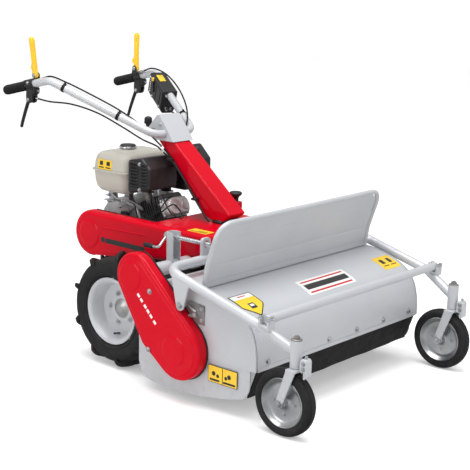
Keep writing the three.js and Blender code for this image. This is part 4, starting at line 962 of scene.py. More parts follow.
# %% Hood and side plates
SHEET, SKID_IN = 4, 524
HOOD_FRONT_Y = -841
HOOD_LINE = [(HOOD_FRONT_Y, 202), (-836, 284), (-813, 352), (-764, 402), (-663, 441), (-559, 459),
             (-420, 462), (-330, 440), (-280, 370), (-258, 260), (-252, 150)]
JACK_Y, JACK_Z, JACK_R, ROTOR_Y, ROTOR_Z = -240, 456, 28, -487, 217


def hood_curve(points, steps=7):
    return [(p.x, p.y) for p in smooth_line([(y, z, 0) for y, z in points], steps)]


ROLLED = hood_curve(HOOD_LINE)
hood = prism(Shape(), "x", strip(ROLLED[::-1], SHEET), -(SKID_IN - 0.3), SKID_IN - 0.3)
piece("hood_sheet", hood, SILVER_PAINT, "chassis", ["deck_hood"], edge=0.8, steps=2)


def side_plate(name, side):
    top = hood_curve(HOOD_LINE[:8])
    ear = arc((JACK_Y, JACK_Z), 42, 42, 115, -165, 14)
    outline = top + [(-292, 486)] + ear + [(-247, 380), (-250, 300), (-244, 204)]
    shape = prism(Shape(), "x", outline, side * (DECK_X - SHEET), side * DECK_X)
    skid = [(-241, 230), (-241, 108), (-262, 60), (-300, 40), (-523, 37), (-747, 75), (-785, 89), (-806, 118),
            (-812, 150), (-812, 230)]
    low = hood_curve(skid[1:-1], 4)
    runner = prism(Shape(), "x", [skid[0]] + low + [skid[-1]], side * SKID_IN, side * (DECK_X - SHEET - 0.1))
    piece(f"skid_{name}", runner, SILVER_PAINT, "chassis", edge=1.5, steps=2)
    holes = [rod(Shape(), (side * 400, JACK_Y, JACK_Z), (side * 600, JACK_Y, JACK_Z), 20, 48),
             rod(Shape(), (side * 400, ROTOR_Y, ROTOR_Z), (side * 600, ROTOR_Y, ROTOR_Z), 21, 48)]
    piece(f"side_plate_{name}", shape, SILVER_PAINT, "chassis", [f"deck_side_{name}"], edge=1.0, steps=2,
                 cutters=holes)


for name, side in SIDES:
    side_plate(name, side)
bearing = turned(Shape(), "x", (0, ROTOR_Y, ROTOR_Z),
                 [(0, DECK_X + 0.2), (50, DECK_X + 0.2), (50, DECK_X + 5),
                 (36, DECK_X + 7), (34, DECK_X + 18), (30, DECK_X + 20.5), (0, DECK_X + 21)], 64)
piece("rotor_bearing_left", bearing, CAST_ALLOY, "chassis")
bolt = hex_head(Shape(), (DECK_X + 4, ROTOR_Y + 43, ROTOR_Z), (DECK_X + 12, ROTOR_Y + 43, ROTOR_Z), 6.5)
ring_of("bearing_bolts_left", bolt, ZINC_PLATE, "chassis", 4, (DECK_X, ROTOR_Y, ROTOR_Z), (1, 0, 0), edge=0.6)
print("deck:", len(ROLLED), "points on the rolled line")

# %% [markdown]
# ## Deck fittings
# The hood's front edge has a folded lip with a row of bolts that clamp the flap's strip, and a
# pressed crease runs along its shoulder. Small pieces like these give the big plain sheet its scale.

# %% Lip, bolts, corner gussets and latch
LIP_Z, LIP_BOLTS = 214, 6
lip = prism(Shape(), "x", [(HOOD_FRONT_Y + 1, LIP_Z - 13), (HOOD_FRONT_Y - 0.4, LIP_Z + 2),
            (HOOD_FRONT_Y - 1.6, LIP_Z), (HOOD_FRONT_Y - 2.2, LIP_Z - 14)], -SKID_IN + 2, SKID_IN - 2)
piece("hood_lip", lip, SILVER_PAINT, "chassis", edge=1)
pitch = 2 * (SKID_IN - 60) / (LIP_BOLTS - 1)
bolt = hex_head(Shape(), (-SKID_IN + 60, HOOD_FRONT_Y + 1, LIP_Z + 16),
                (-SKID_IN + 60, HOOD_FRONT_Y - 6, LIP_Z + 16), 8)
row_of("lip_bolts", bolt, ZINC_PLATE, "chassis", LIP_BOLTS, (pitch, 0, 0), edge=0.6)
for name, side in SIDES:
    edge_plate = prism(Shape(), "x", strip([(y, z) for y, z in ROLLED[::-1] if z > 190 and y < -300], 12),
          side * (DECK_X - SHEET - 3), side * (DECK_X - SHEET + 0.2))
    piece(f"hood_seam_{name}", edge_plate, SILVER_PAINT, "chassis", edge=1)
bracket = prism(Shape(), "x", [(-590, 326), (-500, 326), (-486, 352), (-494, 396), (-520, 408), (-590, 400)],
                -DECK_X - 4, -DECK_X - 0.2)
piece("latch_plate", bracket, WORN_STEEL, "chassis", edge=1.2)
latch = heads(Shape(), [(-DECK_X - 4, y, z) for y, z in ((-576, 342), (-576, 386), (-512, 344))],
              (-5, 0, 0), 6)
rod(latch, (-DECK_X - 8, -552, 372), (-DECK_X - 8, -512, 386), 4.5, 20)
rod(latch, (-DECK_X - 4, -546, 360), (-DECK_X - 13, -546, 360), 9, 28)
piece("latch_fittings", latch, ZINC_PLATE, "chassis", edge=0.7)
spring_turns, spring_steps = 9, 16
coil = [(-DECK_X - 9 + 5 * math.cos(2 * math.pi * i / spring_steps),
         -560 + 44 * i / (spring_turns * spring_steps),
         352 + 5 * math.sin(2 * math.pi * i / spring_steps)) for i in range(spring_turns * spring_steps + 1)]
piece("latch_spring", swept(Shape(), coil, 1.3, 8), ZINC_PLATE, "chassis")
print("deck fittings done")

# %% [markdown]
# ## Front flap
# A heavy rubber sheet hangs from the lip and drags over the grass. It is a thin slab with a slight
# wave along its free edge, which a ruler-straight slab wouldn't show.

# %% Front flap
FLAP_TOP, FLAP_DROP, FLAP_THICK = 198, 108, 5
flap_front = HOOD_FRONT_Y + SHEET + 2
flap, waves = [], 48
for i in range(waves + 1):
    x = (2 * i / waves - 1) * (SKID_IN - 3)
    sag = 1.8 * math.sin(x / 61) + 1.2 * math.sin(x / 23 + 1)
    line = [(flap_front, FLAP_TOP), (flap_front + 12, FLAP_TOP - 34),
            (flap_front + 29 + sag * 0.5, FLAP_TOP - 76), (flap_front + 41 + sag, FLAP_TOP - FLAP_DROP)]
    flap.append([(x, y, z) for y, z in strip(line, FLAP_THICK)])
piece("flap_sheet", Shape().loft(flap), SOFT_RUBBER, "flap", ["front_flap"], edge=1)

# %% [markdown]
# ## Guard
# The guard keeps grass off the operator. It is a sheet with two shallow folds, standing on the hood
# and leaning forward, with a tube rolled round its edge. Its outline has large round upper corners,
# so it is drawn as columns of points whose height ends on the corner's arc.

# %% Guard sheet and rim
GUARD_HALF, GUARD_TOP, GUARD_R, RIM_TUBE_R = 514, 711, 70, 10
GUARD_FOOT, GUARD_BEND = (-566, 459.4), (-579, 543)


def guard_y(z):
    """The folded section: how far forward the sheet stands at a height."""
    knots = [(GUARD_FOOT[1], -566), (538, -578.2), (543, -576.5), (548, -580.5), (646, -612), (651, -610.6),
             (656, -616), (GUARD_TOP, -636)]
    for (z0, y0), (z1, y1) in zip(knots, knots[1:]):
        if z <= z1:
            return y0 + (y1 - y0) * (z - z0) / (z1 - z0)
    return knots[-1][1]


def guard_sheet():
    columns, rows = 96, (0, .08, .2, .31, .318, .33, .345, .352, .5, .65, .745, .752, .762, .78, .9, 1)
    inner, front, back = GUARD_HALF - 6, [], []
    for i in range(columns + 1):
        x = (2 * i / columns - 1) * inner
        over = max(abs(x) - (inner - GUARD_R), 0)
        top = GUARD_TOP - 8 - (GUARD_R - math.sqrt(max(GUARD_R ** 2 - over ** 2, 0)))
        heights = [GUARD_FOOT[1] + (top - GUARD_FOOT[1]) * r for r in rows]
        front.append([(x, guard_y(z) - 1.6, z) for z in heights])
        back.append([(x, guard_y(z) + 1.6, z) for z in heights])
    return Shape().loft([a + b[::-1] for a, b in zip(front, back)])


piece("guard_sheet", guard_sheet(), SILVER_PAINT, "chassis", ["guard_panel"])
corners = [(-GUARD_HALF, *GUARD_FOOT), (-GUARD_HALF, *GUARD_BEND), (-GUARD_HALF, -636, GUARD_TOP),
           (GUARD_HALF, -636, GUARD_TOP), (GUARD_HALF, *GUARD_BEND), (GUARD_HALF, *GUARD_FOOT)]
piece("guard_rim_tube", swept(Shape(), bent(corners, GUARD_R, 16), RIM_TUBE_R, 28), SILVER_PAINT, "chassis",
      ["guard_rim"])
foot = prism(Shape(), "x", [(-572, 461), (-530, 464.5), (-530, 466.5), (-569, 465), (-571, 482), (-573, 482)],
             -GUARD_HALF + 12, GUARD_HALF - 12)
piece("guard_foot_strip", foot, SILVER_PAINT, "chassis", edge=0.5, steps=2)
bolt = hex_head(Shape(), (-420, -545, 465), (-420, -545.5, 470.5), 6.5)
row_of("guard_bolts", bolt, ZINC_PLATE, "chassis", 4, (280, 0, 0), edge=0.6)
print("guard done")

# %% [markdown]
# ## Belt case
# The red cover over the belt is pressed from sheet in the outline of a taut belt round its pulleys.
# Growing and shrinking that outline gives rings with the same number of points, so the wall, the
# round edge, the raised inner panel and the pads over the pulleys are all one loft.

# %% Belt cover and its backing plate
CASE_IN_X, CASE_OUT_X, CASE_WALL = -539.6, -585.6, 3
CASE = taut([(-258, 456, 95), (ROTOR_Y, ROTOR_Z, 120), (-342, 236, 50)], 144)


def belt_cover():
    def ring(x, grow):
        return [(x, y, z) for y, z in CASE(grow)]

    border, panel, rings = CASE_OUT_X + 3.5, CASE_OUT_X, []
    rings += [ring(CASE_IN_X, -CASE_WALL), ring(CASE_IN_X, 0)]
    rings += [ring(border + drop, -inset) for inset, drop in fillet(15, 7)]
    rings += [ring(border, -19)]
    rings += [ring(border + (panel - border) * height, -19 - 7 * share) for share, height in swell(6)]
    rings += [ring(panel, -34)]
    inner = [ring(panel + CASE_WALL, -34), ring(border + CASE_WALL, -22)]
    inner += [ring(border + CASE_WALL + drop, -CASE_WALL - inset * 0.9)
              for inset, drop in fillet(13, 4)[::-1]]
    shape = Shape().loft(rings + inner, ends=False, round_trip=True)
    for x in (panel, panel + CASE_WALL):
        lid = ring(x, -34)
        shape.add(lid, [tuple(range(len(lid)))])
    return shape


def pad(shape, y, z, radius, width, height, face, outward):
    """A raised round pad with a soft edge on a face of constant x."""
    profile = [(0, face + outward * height)]
    profile += [(radius - width * share, face + outward * (height * (rise * 1.06) - 0.2))
                for share, rise in swell(8)][::-1]
    profile += [(radius - 1, face - outward * 1.5), (0, face - outward * 1.5)]
    return turned(shape, "x", (0, y, z), profile, 72)


def bead(shape, face, outward, start, end, width, height):
    """A raised straight bead with round ends on a face of constant x."""
    (y0, z0), (y1, z1) = start, end
    outline = taut([(y0, z0, width / 2), (y1, z1, width / 2)], 40)
    rings = [[(face - outward * 1.2, y, z) for y, z in outline(0)]]
    rings += [[(face + outward * (height * rise - 0.2), y, z) for y, z in outline(-0.96 * width / 2 * share)]
              for share, rise in swell(5)]
    return shape.loft(rings)


cover = belt_cover()
for y, z in ((-245, 459), (-480, 213)):
    pad(cover, y, z, 62, 11, 3.2, CASE_OUT_X, -1)
piece("belt_case_cover", cover, RED_PAINT, "chassis", ["belt_cover"])
back = prism(Shape(), "x", CASE(4), CASE_IN_X + 0.3, CASE_IN_X + 5.3)
back_holes = [rod(Shape(), (-560, JACK_Y, JACK_Z), (-500, JACK_Y, JACK_Z), 20, 40),
              rod(Shape(), (-560, ROTOR_Y, ROTOR_Z), (-500, ROTOR_Y, ROTOR_Z), 24, 40)]
piece("belt_case_plate", back, BLACK_STEEL, "chassis", ["belt_case_back"], edge=0.8, cutters=back_holes)
screws = Shape()
for y, z in ((-352, 419), (-347, 188)):
    turned(screws, "x", (CASE_OUT_X, y, z),
           [(0, 0), (11, 0), (11, -1.6), (7.5, -1.8), (7.5, -5), (6.5, -6.2), (0, -6.4)], 36)
piece("belt_case_screws", screws, ZINC_PLATE, "chassis")
print("belt case done")

# %% [markdown]
# ## Body cover
# The tractor's red cover is a long pressed box with a half-round rear end. Its side view is again a
# taut outline, pushed across and rounded over at both faces, then hollowed and cut out for the
# engine by boolean tools, as the real one is pressed and then trimmed.

# %% Body cover
COVER_RIGHT, COVER_LEFT, COVER_WALL, COVER_ROUND = -260, 190, 3, 22
COVER = taut([(340, 480, 100), (-327, 555, 25), (-327, 519, 25), (-140, 465.6, 25)], 144)


def cover_block(inset, rounding):
    low, high = COVER_RIGHT + inset, COVER_LEFT - inset
    rings = [[(low + drop, y, z) for y, z in COVER(-inset - back)]
             for back, drop in fillet(rounding, 7)[::-1]]
    rings += [[(high - drop, y, z) for y, z in COVER(-inset - back)] for back, drop in fillet(rounding, 7)]
    return Shape().loft(rings)


cover_tools = [
    cover_block(COVER_WALL, COVER_ROUND - 2),
    prism(Shape(), "x", [(-400, 380), (-345, 500), (-145, 446), (330, 385), (330, 300), (-400, 300)],
          COVER_RIGHT + COVER_WALL, COVER_LEFT - COVER_WALL),
    box(Shape(), COVER_RIGHT + 46, COVER_LEFT + 30, -20, 470, 300, 640),
    rod(Shape(), (COVER_RIGHT - 20, JACK_Y, JACK_Z), (COVER_LEFT + 20, JACK_Y, JACK_Z), JACK_R + 0.6, 48),
    rod(Shape(), (0, -215, 540), (0, -215, 620), 17.2, 40)]
piece("tractor_cover", cover_block(0, COVER_ROUND), RED_PAINT, "chassis", ["body_cover"], edge=0.6, steps=2,
      cutters=cover_tools)
press = pad(Shape(), 340, 480, 66, 14, 4.2, COVER_RIGHT, -1)
bead(press, COVER_RIGHT, -1, (262, 520), (-8, 528), 8, 3.0)
piece("tractor_cover_pressing", press, RED_PAINT, "chassis")
trim = box(Shape(), COVER_RIGHT + 43, COVER_RIGHT + 47.5, -20, 340, 574, 583)
piece("engine_bay_trim", trim, BLACK_STEEL, "chassis", edge=1)
print("body cover done")

# %% [markdown]
# ## Drive housing and height crank
# Behind the deck a cross tube carries the jackshaft from the gear head to the belt. On it stands
# the bracket of the height screw, bent from plate, with its crank. The screw's thread is a turned
# profile with one small ridge per turn, which reads as a thread at this size.

# %% Jackshaft housing
housing = rod(Shape(), (-529, JACK_Y, JACK_Z), (529, JACK_Y, JACK_Z), JACK_R, 56)
for x in (-529, -74, 70, 525):
    rod(housing, (x, JACK_Y, JACK_Z), (x + 4, JACK_Y, JACK_Z), JACK_R + (8 if abs(x) > 100 else 14), 56)
piece("jackshaft_tube", housing, SILVER_PAINT, "chassis", ["jackshaft_housing"], edge=1.2, steps=2)
head = prism(Shape(), "x", rounded(-300, -180, 400, 520, 26), -70, 70)
turned(head, "z", (0, -215, 0),
       [(0, 500), (46, 500), (46, 540), (40, 546), (40, 570), (36, 576.5), (0, 576.5)], 56)
piece("jackshaft_gear_head", head, BLACK_STEEL, "chassis", edge=4)
bend = bent([(-363, -262, 0), (-363, -226, 0), (-327, -226, 0), (-327, -262, 0)], 9, 6)
channel = prism(Shape(), "z", strip([(p.x, p.y) for p in bend], 5), 471, 597)
hole = rod(Shape(), (SCREW_X, -300, SCREW_Z), (SCREW_X, -200, SCREW_Z), 9, 32)
piece("crank_bracket", channel, SILVER_PAINT, "chassis", edge=0.9, steps=2, cutters=[hole])

# %% Screw, crank arm and grip
ridges = []
for i in range(56):
    y = -441 + 3 * i
    ridges += [(6.7, y), (8, y + 0.9), (8, y + 1.5), (6.7, y + 2.4)]
screw = turned(Shape(), "y", (SCREW_X, 0, SCREW_Z),
               [(0, -441), (5.6, -441)] + ridges + [(8, -272), (8, -216), (0, -216)], 28)
piece("height_screw", screw, CHROME, "crank", ["crank_screw"])
nuts = turned(Shape(), "y", (SCREW_X, 0, SCREW_Z),
              [(0, -225.7), (13, -225.7), (13, -203), (11, -201), (0, -201)], 40)
rod(nuts, (SCREW_X, -280, SCREW_Z), (SCREW_X, -264, SCREW_Z), 14, 6)
piece("height_screw_nuts", nuts, ZINC_PLATE, "crank", edge=1)
arm = bent([(-345, -209, 577), (-352, -209, 571), (-395, -209, 534), (-395, -181, 534)], 14, 8)
piece("crank_arm", swept(Shape(), arm, 5.5, 24), ZINC_PLATE, "crank")
grip = turned(Shape(), "y", (-395, -179.7, 534),
              [(0, 0), (7.5, 0), (9.5, 5), (9.7, 14), (9.2, 26), (9.7, 38), (9.2, 45),
              (7, 49.5), (0, 50)], 40)
piece("crank_handle", grip, BLACK_PLASTIC, "crank", ["crank_grip"])
print("height crank done")

# %% [markdown]
# ## Transmission
# The gear case hangs between the wheels with an axle tube to each side, a bed for the engine on
# top and the hitch behind. Cast parts get generous round edges and ribs.

# %% Transmission case
case = prism(Shape(), "x", [(-150, 190), (-110, 160), (150, 160), (190, 200), (190, 330), (150, 372),
                            (-110, 372), (-150, 300)], -95, 95)
prism(case, "x", [(60, 340), (330, 340), (330, 388), (60, 388)], -80, 80)
prism(case, "x", rounded(-179.7, -120, 200, 420, 20), -50, 50)
piece("gear_case", case, BLACK_STEEL, "chassis", ["transmission_case"], edge=7, steps=4)
fittings = Shape()
for side in (-1, 1):
    rod(fittings, (side * 90, 0, 240), (side * 300, 0, 240), 42, 48)
    rod(fittings, (side * 94, 0, 240), (side * 108, 0, 240), 66, 48)
prism(fittings, "z", rounded(-150, 150, 110, 430, 22), 387, 399.5)
piece("axle_tubes_and_bed", fittings, BLACK_STEEL, "chassis", edge=1.6)
hitch = prism(Shape(), "x", [(180, 296), (443.2, 296), (443.2, 322), (180, 330)], -30, 30)
pin = rod(Shape(), (0, 425, 260), (0, 425, 360), 11, 32)
piece("hitch_tongue", hitch, BLACK_STEEL, "chassis", edge=1.6, cutters=[pin])
hitch_plate = prism(Shape(), "y", rounded(-90, 90, 262, 352, 16), 443, 455)
holes = [rod(Shape(), (x, 430, z), (x, 470, z), 8, 28) for x in (-66, 66) for z in (284, 330)]
piece("hitch_plate", hitch_plate, BLACK_STEEL, "chassis", edge=1.4, cutters=holes)
bolt = hex_head(Shape(), (96, 0, 295), (107, 0, 295), 7)
ring_of("case_bolts_left", bolt, ZINC_PLATE, "chassis", 6, (100, 0, 240), (1, 0, 0), edge=0.5)
print("transmission done")

# %% [markdown]
# ## Engine
# A single-cylinder engine with its cylinder laid forward at a slant. Everything on the cylinder is
# drawn along its own axis and turned into place by one function. The fins are one fin copied
# outward by the row tree.

# %% The cylinder's own axes
SHAFT_Y, SHAFT_Z, SLANT = 300, 506, math.radians(22.5)
OUTWARD, UPWARD = (-math.cos(SLANT), math.sin(SLANT)), (math.sin(SLANT), math.cos(SLANT))


def on_cylinder(x, out, n):
    return (x, SHAFT_Y + out * OUTWARD[0] + n * UPWARD[0], SHAFT_Z + out * OUTWARD[1] + n * UPWARD[1])


def cylinder_block(x0, x1, half, steps, radius):
    """Rounded rectangles across the cylinder; steps are (distance out, inset)."""
    rings = []
    for out, inset in steps:
        flat = rounded(x0 + inset, x1 - inset, -half + inset, half - inset, max(radius - inset * 0.5, 2))
        rings.append([on_cylinder(x, out, n) for x, n in flat])
    return Shape().loft(rings)


def cylinder_turned(shape, x, n, profile, sides=56):
    """A profile of (radius, distance out) turned round a line along the cylinder's axis."""
    rings = [[on_cylinder(x + u, out, n + v) for u, v in circle((0, 0), r, sides)] for r, out in profile]
    return shape.loft(rings, ends=False)


# %% Crankcase, legs and recoil starter
DARK_CAST = metal("dark_casting", "alloy", rgb(0.17, 0.17, 0.172), rgb(0.07, 0.07, 0.072), 0.42,
                  520, 0.4, 0.6)
crankcase = prism(Shape(), "x", [(190, 402), (400, 402), (408, 560), (370, 610), (235, 610),
                  on_cylinder(0, 132, 62)[1:], on_cylinder(0, 132, -62)[1:]], -116, 106)
piece("crankcase_body", crankcase, CAST_ALLOY, "chassis", ["engine_crankcase"], edge=9, steps=4)
foot = prism(Shape(), "z", rounded(-130, 108, 150, 415, 14), 400, 410)
heads(foot, [(x, y, 410) for x in (-112, 90) for y in (170, 395)], (0, 0, 9), 8, 1)
rod(foot, (-112, SHAFT_Y, SHAFT_Z), (-146, SHAFT_Y, SHAFT_Z), 52, 56)
rod(foot, (-146, SHAFT_Y, SHAFT_Z), (-150, SHAFT_Y, SHAFT_Z), 46, 56)
piece("crankcase_foot", foot, (CAST_ALLOY, ZINC_PLATE), "chassis", edge=1.5)
bolt = hex_head(Shape(), (-116, SHAFT_Y, SHAFT_Z + 78), (-124, SHAFT_Y, SHAFT_Z + 78), 6)
ring_of("crankcase_bolts", bolt, ZINC_PLATE, "chassis", 7, (-116, SHAFT_Y, SHAFT_Z), (1, 0, 0),
        2 * math.pi / 7.4, 0.5)
ribs = Shape()
for y in (222, 262, 302, 342, 378):
    box(ribs, -121, -110, y - 2.5, y + 2.5, 414, 470)
piece("crankcase_ribs", ribs, CAST_ALLOY, "chassis", edge=1.2)
legs = Shape()
for x in (-105, 70):
    for y in (252, 352):
        prism(legs, "y", [(x - 16, 596), (x + 40, 596), (x + 30, 606), (x + 24, 640), (x + 30, 647),
                          (x - 4, 647), (x, 612)], y, y + 30)
piece("tank_legs", legs, ZINC_PLATE, "chassis", edge=1.6)
starter = turned(Shape(), "x", (108.3, SHAFT_Y, SHAFT_Z),
                 [(0, 0), (102, 0), (104, 3), (104, 36), (101, 42), (92, 56),
                 (86, 60), (40, 63), (34, 60), (30, 63.5), (0, 64)], 80)
slots = []
for i in range(12):
    a = 2 * math.pi * i / 12
    y, z = SHAFT_Y + 62 * math.cos(a), SHAFT_Z + 62 * math.sin(a)
    slots.append(rod(Shape(), (150, y, z), (190, y, z), 7, 20))
piece("starter_housing", starter, BLACK_STEEL, "chassis", ["recoil_starter"], cutters=slots)
handle = turned(Shape(), "x", (140, 206, 582), [(0, 0), (9, 0), (11, 4), (11, 8), (9, 12), (0, 12)], 28)
rod(handle, (146, 206, 558), (146, 206, 606), 9, 28)
piece("starter_handle", handle, BLACK_PLASTIC, "chassis", edge=2)

# %% Cylinder, fins and rocker cover
barrel = cylinder_block(-80, 20, 46, [(131, 0), (262, 0)], 26)
piece("cylinder_barrel", barrel, DARK_CAST, "chassis", ["cylinder"], edge=1)
fin = cylinder_block(-102, 42, 64, [(138, 1), (139, 0), (141, 0), (142, 1)], 22)
row_of("cylinder_fins", fin, DARK_CAST, "chassis", 10, (0, 13 * OUTWARD[0], 13 * OUTWARD[1]))
rocker = cylinder_block(-108, 48, 42, [(262.3, 0), (267, 0), (267.2, 4), (284, 5), (288, 7.5), (290.5, 11),
                        (292, 17)], 26)
cylinder_turned(rocker, -52, 0, [(0, 299.5), (9, 299.5), (12, 297), (27, 297.5), (31, 299.6), (35, 298),
                                 (37, 294), (37, 288), (0, 288)])
cylinder_turned(rocker, 16, 0, [(0, 297), (12, 297), (20, 295), (24, 291), (24, 288), (0, 288)])
BRIGHT_ALLOY = metal("bright_alloy", "alloy", rgb(0.80, 0.80, 0.79), rgb(0.60, 0.60, 0.59), 0.26,
                     800, 0.12, 0.6)
piece("rocker_cover_casting", rocker, BRIGHT_ALLOY, "chassis", ["rocker_cover"], edge=1)
screws = heads(Shape(), [on_cylinder(x, 267, n) for x in (-99, 39) for n in (33, -33)],
               (0, 8 * OUTWARD[0], 8 * OUTWARD[1]), 5.5)
rod(screws, on_cylinder(-52, 299, 0), on_cylinder(-52, 303, 0), 7, 24)
piece("rocker_cover_screws", screws, ZINC_PLATE, "chassis", edge=0.5)
plug = Shape()
start = Vector(on_cylinder(-92, 246, 20))
rod(plug, start, start + Vector((-26, -16, 2)), 10, 6, 0)
rod(plug, start + Vector((-24, -15, 2)), start + Vector((-40, -26, 4)), 8, 28, 1)
rod(plug, start + Vector((-38, -25, 3)), start + Vector((-66, -44, 8)), 11, 28, 2, end_share=8 / 11)
piece("spark_plug", plug, (ZINC_PLATE, PLATE_WHITE, SOFT_RUBBER), "chassis", edge=0.8)
tip = start + Vector((-64, -43, 8))
lead = smooth_line([tip, tip + Vector((-16, -8, 14)), tip + Vector((-8, 18, 46)), tip + Vector((20, 60, 60)),
                    (-70, 168, 640)], 10)
piece("spark_lead", swept(Shape(), lead, 3.6, 16), SOFT_RUBBER, "chassis")
print("engine core done")

# %% [markdown]
# ## Fuel tank
# Two pressed halves meet in a flange all round. Rings of rounded rectangles give the tank its
# tapered foot, the thin flange and the soft shoulder, each ring saying only its height and inset.

# %% Fuel tank and cap
tank = []
for z, inset, corner in ((648, 48, 20), (649.5, 40, 24), (656, 28, 30), (672, 17, 34), (700, 11, 36),
                         (738, 8, 38), (742.6, 7.5, 38), (743, 0.6, 40), (744, 0, 40), (747, 0, 40),
                         (748, 0.6, 40), (748.4, 8, 38), (778, 10, 38), (800, 14, 38), (812, 20, 38),
                         (820, 30, 36), (824.5, 44, 32), (826, 62, 26)):
    tank.append([(x, y, z) for x, y in rounded(-182 + inset, 132 - inset, 200 + inset, 430 - inset,
                                               corner, 10)])
shell = Shape().loft(tank)
turned(shell, "z", (-25, 345, 0), [(0, 829.5), (28, 829.5), (30, 828), (31, 822), (0, 822)], 48)
piece("tank_shell", shell, CREAM_PAINT, "chassis", ["fuel_tank"])
cap = turned(Shape(), "z", (-25, 345, 0), [(0, 830.6), (36.5, 830.6), (38, 832), (38, 837), (36.8, 838.6),
                                           (0, 838.6)], 72)
turned(cap, "z", (-25, 345, 0), [(0, 838), (34.5, 838), (34.5, 842.5), (31, 846), (22, 847), (10, 845.6),
                                 (0, 845.4)], 72,
       colour=1)
piece("tank_cap", cap, (CHROME, BLACK_STEEL), "fuel_cap", ["fuel_cap"])
notch = box(Shape(), -27.5, -22.5, 378, 383.4, 831, 838)
ring_of("tank_cap_ribs", notch, ZINC_PLATE, "fuel_cap", 24, (-25, 345, 836), (0, 0, 1), edge=0.8)
print("tank done")

# %% [markdown]
# ## Muffler and its guard
# The guard is a black pressed box, open on the side of the air cleaner, with two columns of louvres.
# The slots are cut with one boolean tool and the hoods over them are copied by the row tree.

# %% Muffler and louvred guard
GUARD_X0, GUARD_X1 = -172, -8
GUARD_BOX = taut([(78, 704, 14), (182, 683, 14), (182, 799, 14), (117, 811, 14), (79, 778, 14)], 120)
rings = [[(GUARD_X0 + drop, y, z) for y, z in GUARD_BOX(-back)] for back, drop in fillet(10, 5)[::-1]]
outer = Shape().loft(rings + [[(GUARD_X1, y, z) for y, z in GUARD_BOX(0)]])
rings = [[(GUARD_X0 + 3 + drop, y, z) for y, z in GUARD_BOX(-3 - back)] for back, drop in fillet(8, 4)[::-1]]
hollow = Shape().loft(rings + [[(GUARD_X1 + 5, y, z) for y, z in GUARD_BOX(-3)]])
slots = Shape()
for row in range(8):
    for y0, y1 in ((78, 116), (132, 180)):
        box(slots, GUARD_X0 - 5, GUARD_X0 + 6, y0, y1, 698.5 + 14 * row, 704 + 14 * row)
pipe_way = rod(Shape(), (-90, 150, 600), (-90, 150, 700), 19, 32)
piece("muffler_guard_shell", outer, BLACK_STEEL, "chassis", ["muffler_guard"], edge=0.5, steps=2,
      cutters=[hollow, slots, pipe_way])
for name, y0, y1 in (("front", 77, 117), ("rear", 131, 181)):
    hood_line = [(GUARD_X0 + 1, 710), (GUARD_X0 - 3.5, 709.2), (GUARD_X0 - 6.8, 706.4),
                 (GUARD_X0 - 7.6, 702.4), (GUARD_X0 - 6, 702.8), (GUARD_X0 - 3, 705.8), (GUARD_X0 + 1, 706.6)]
    rings = []
    for y, share in ((y0, 0.1), (y0 + 2, 0.6), (y0 + 6, 1), (y1 - 6, 1), (y1 - 2, 0.6), (y1, 0.1)):
        rings.append([(GUARD_X0 + (x - GUARD_X0) * (share if x < GUARD_X0 else 1), y, z)
                      for x, z in hood_line])
    row_of(f"louvre_hoods_{name}", Shape().loft(rings), BLACK_STEEL, "chassis", 8, (0, 0, 14))
can = []
for x, inset in ((-154, 22), (-152, 17), (-146, 12.5), (-138, 11), (-46, 11), (-38, 12.5), (-32, 17),
                 (-30, 22)):
    can.append([(x, y, z) for y, z in GUARD_BOX(-inset)])
piece("muffler_can", Shape().loft(can), WORN_STEEL, "chassis", ["muffler"])
pipe = swept(Shape(), bent([(-90, 150, 700), (-90, 150, 640), (-78, 140, 612)], 24, 8), 15, 32)
rod(pipe, (-90, 150, 664), (-90, 150, 669), 24, 32)
piece("exhaust_pipe", pipe, WORN_STEEL, "chassis")
screws = heads(Shape(), [(GUARD_X0 + 0.5, 124, z) for z in (800, 690)], (-6.5, 0, 0), 6)
piece("guard_screws", screws, ZINC_PLATE, "chassis", edge=0.6)
print("muffler done")

# %% [markdown]
# ## Air cleaner
# A black moulded box with a rounded lid and an intake elbow. Lid and base are separate mouldings, so
# a thin dark joint runs round between them.

# %% Air cleaner
CLEANER = taut([(92, 674, 14), (178, 674, 14), (178, 822, 14), (144, 836, 14), (92, 786, 14)], 120)


def moulded_block(shape, x0, x1, grown, radius):
    rings = [[(x0 + drop, y, z) for y, z in CLEANER(grown - back)] for back, drop in fillet(radius, 5)[::-1]]
    rings += [[(x1 - drop, y, z) for y, z in CLEANER(grown - back)] for back, drop in fillet(radius, 5)]
    return shape.loft(rings)


cleaner = moulded_block(Shape(), 66, 150, -3, 9)
moulded_block(cleaner, 148, 155, -6, 1)
moulded_block(cleaner, 153, 232, 0, 12)
turned(cleaner, "x", (0, 135, 742), [(0, 60), (40, 60), (44, 62), (44, 68), (0, 68)], 56)
turned(cleaner, "x", (0, 135, 742), [(0, 57), (10, 57), (12, 58), (12, 62), (0, 62)], 32)
piece("air_cleaner_box", cleaner, BLACK_PLASTIC, "chassis", ["air_cleaner"], edge=0.5, steps=2)
elbow = swept(Shape(), bent([(70, 150, 718), (18, 150, 718), (18, 150, 662)], 26, 10), 22, 40)
rod(elbow, (52, 150, 718), (60, 150, 718), 27, 40)
rod(elbow, (18, 150, 676), (18, 150, 684), 26, 40)
piece("intake_elbow", elbow, SOFT_RUBBER, "chassis", edge=1.5)
carburettor = prism(Shape(), "z", rounded(-6, 42, 122, 176, 10), 600, 662)
rod(carburettor, (18, 122, 628), (18, 104, 628), 15, 32)
rod(carburettor, (18, 150, 604), (18, 150, 588), 19, 40)
piece("carburettor", carburettor, CAST_ALLOY, "chassis", edge=2)
clip = turned(Shape(), "x", (0, 150, 718), [(27.4, 53), (28.6, 53), (28.6, 59), (27.4, 59)], 48, closed=True)
piece("elbow_clip", clip, ZINC_PLATE, "chassis")
print("air cleaner done")

# %% [markdown]
# ## Governor linkage
# Between tank and crankcase sit thin plated levers, rods and springs. They are small, but without
# them the gap under the tank looks empty.

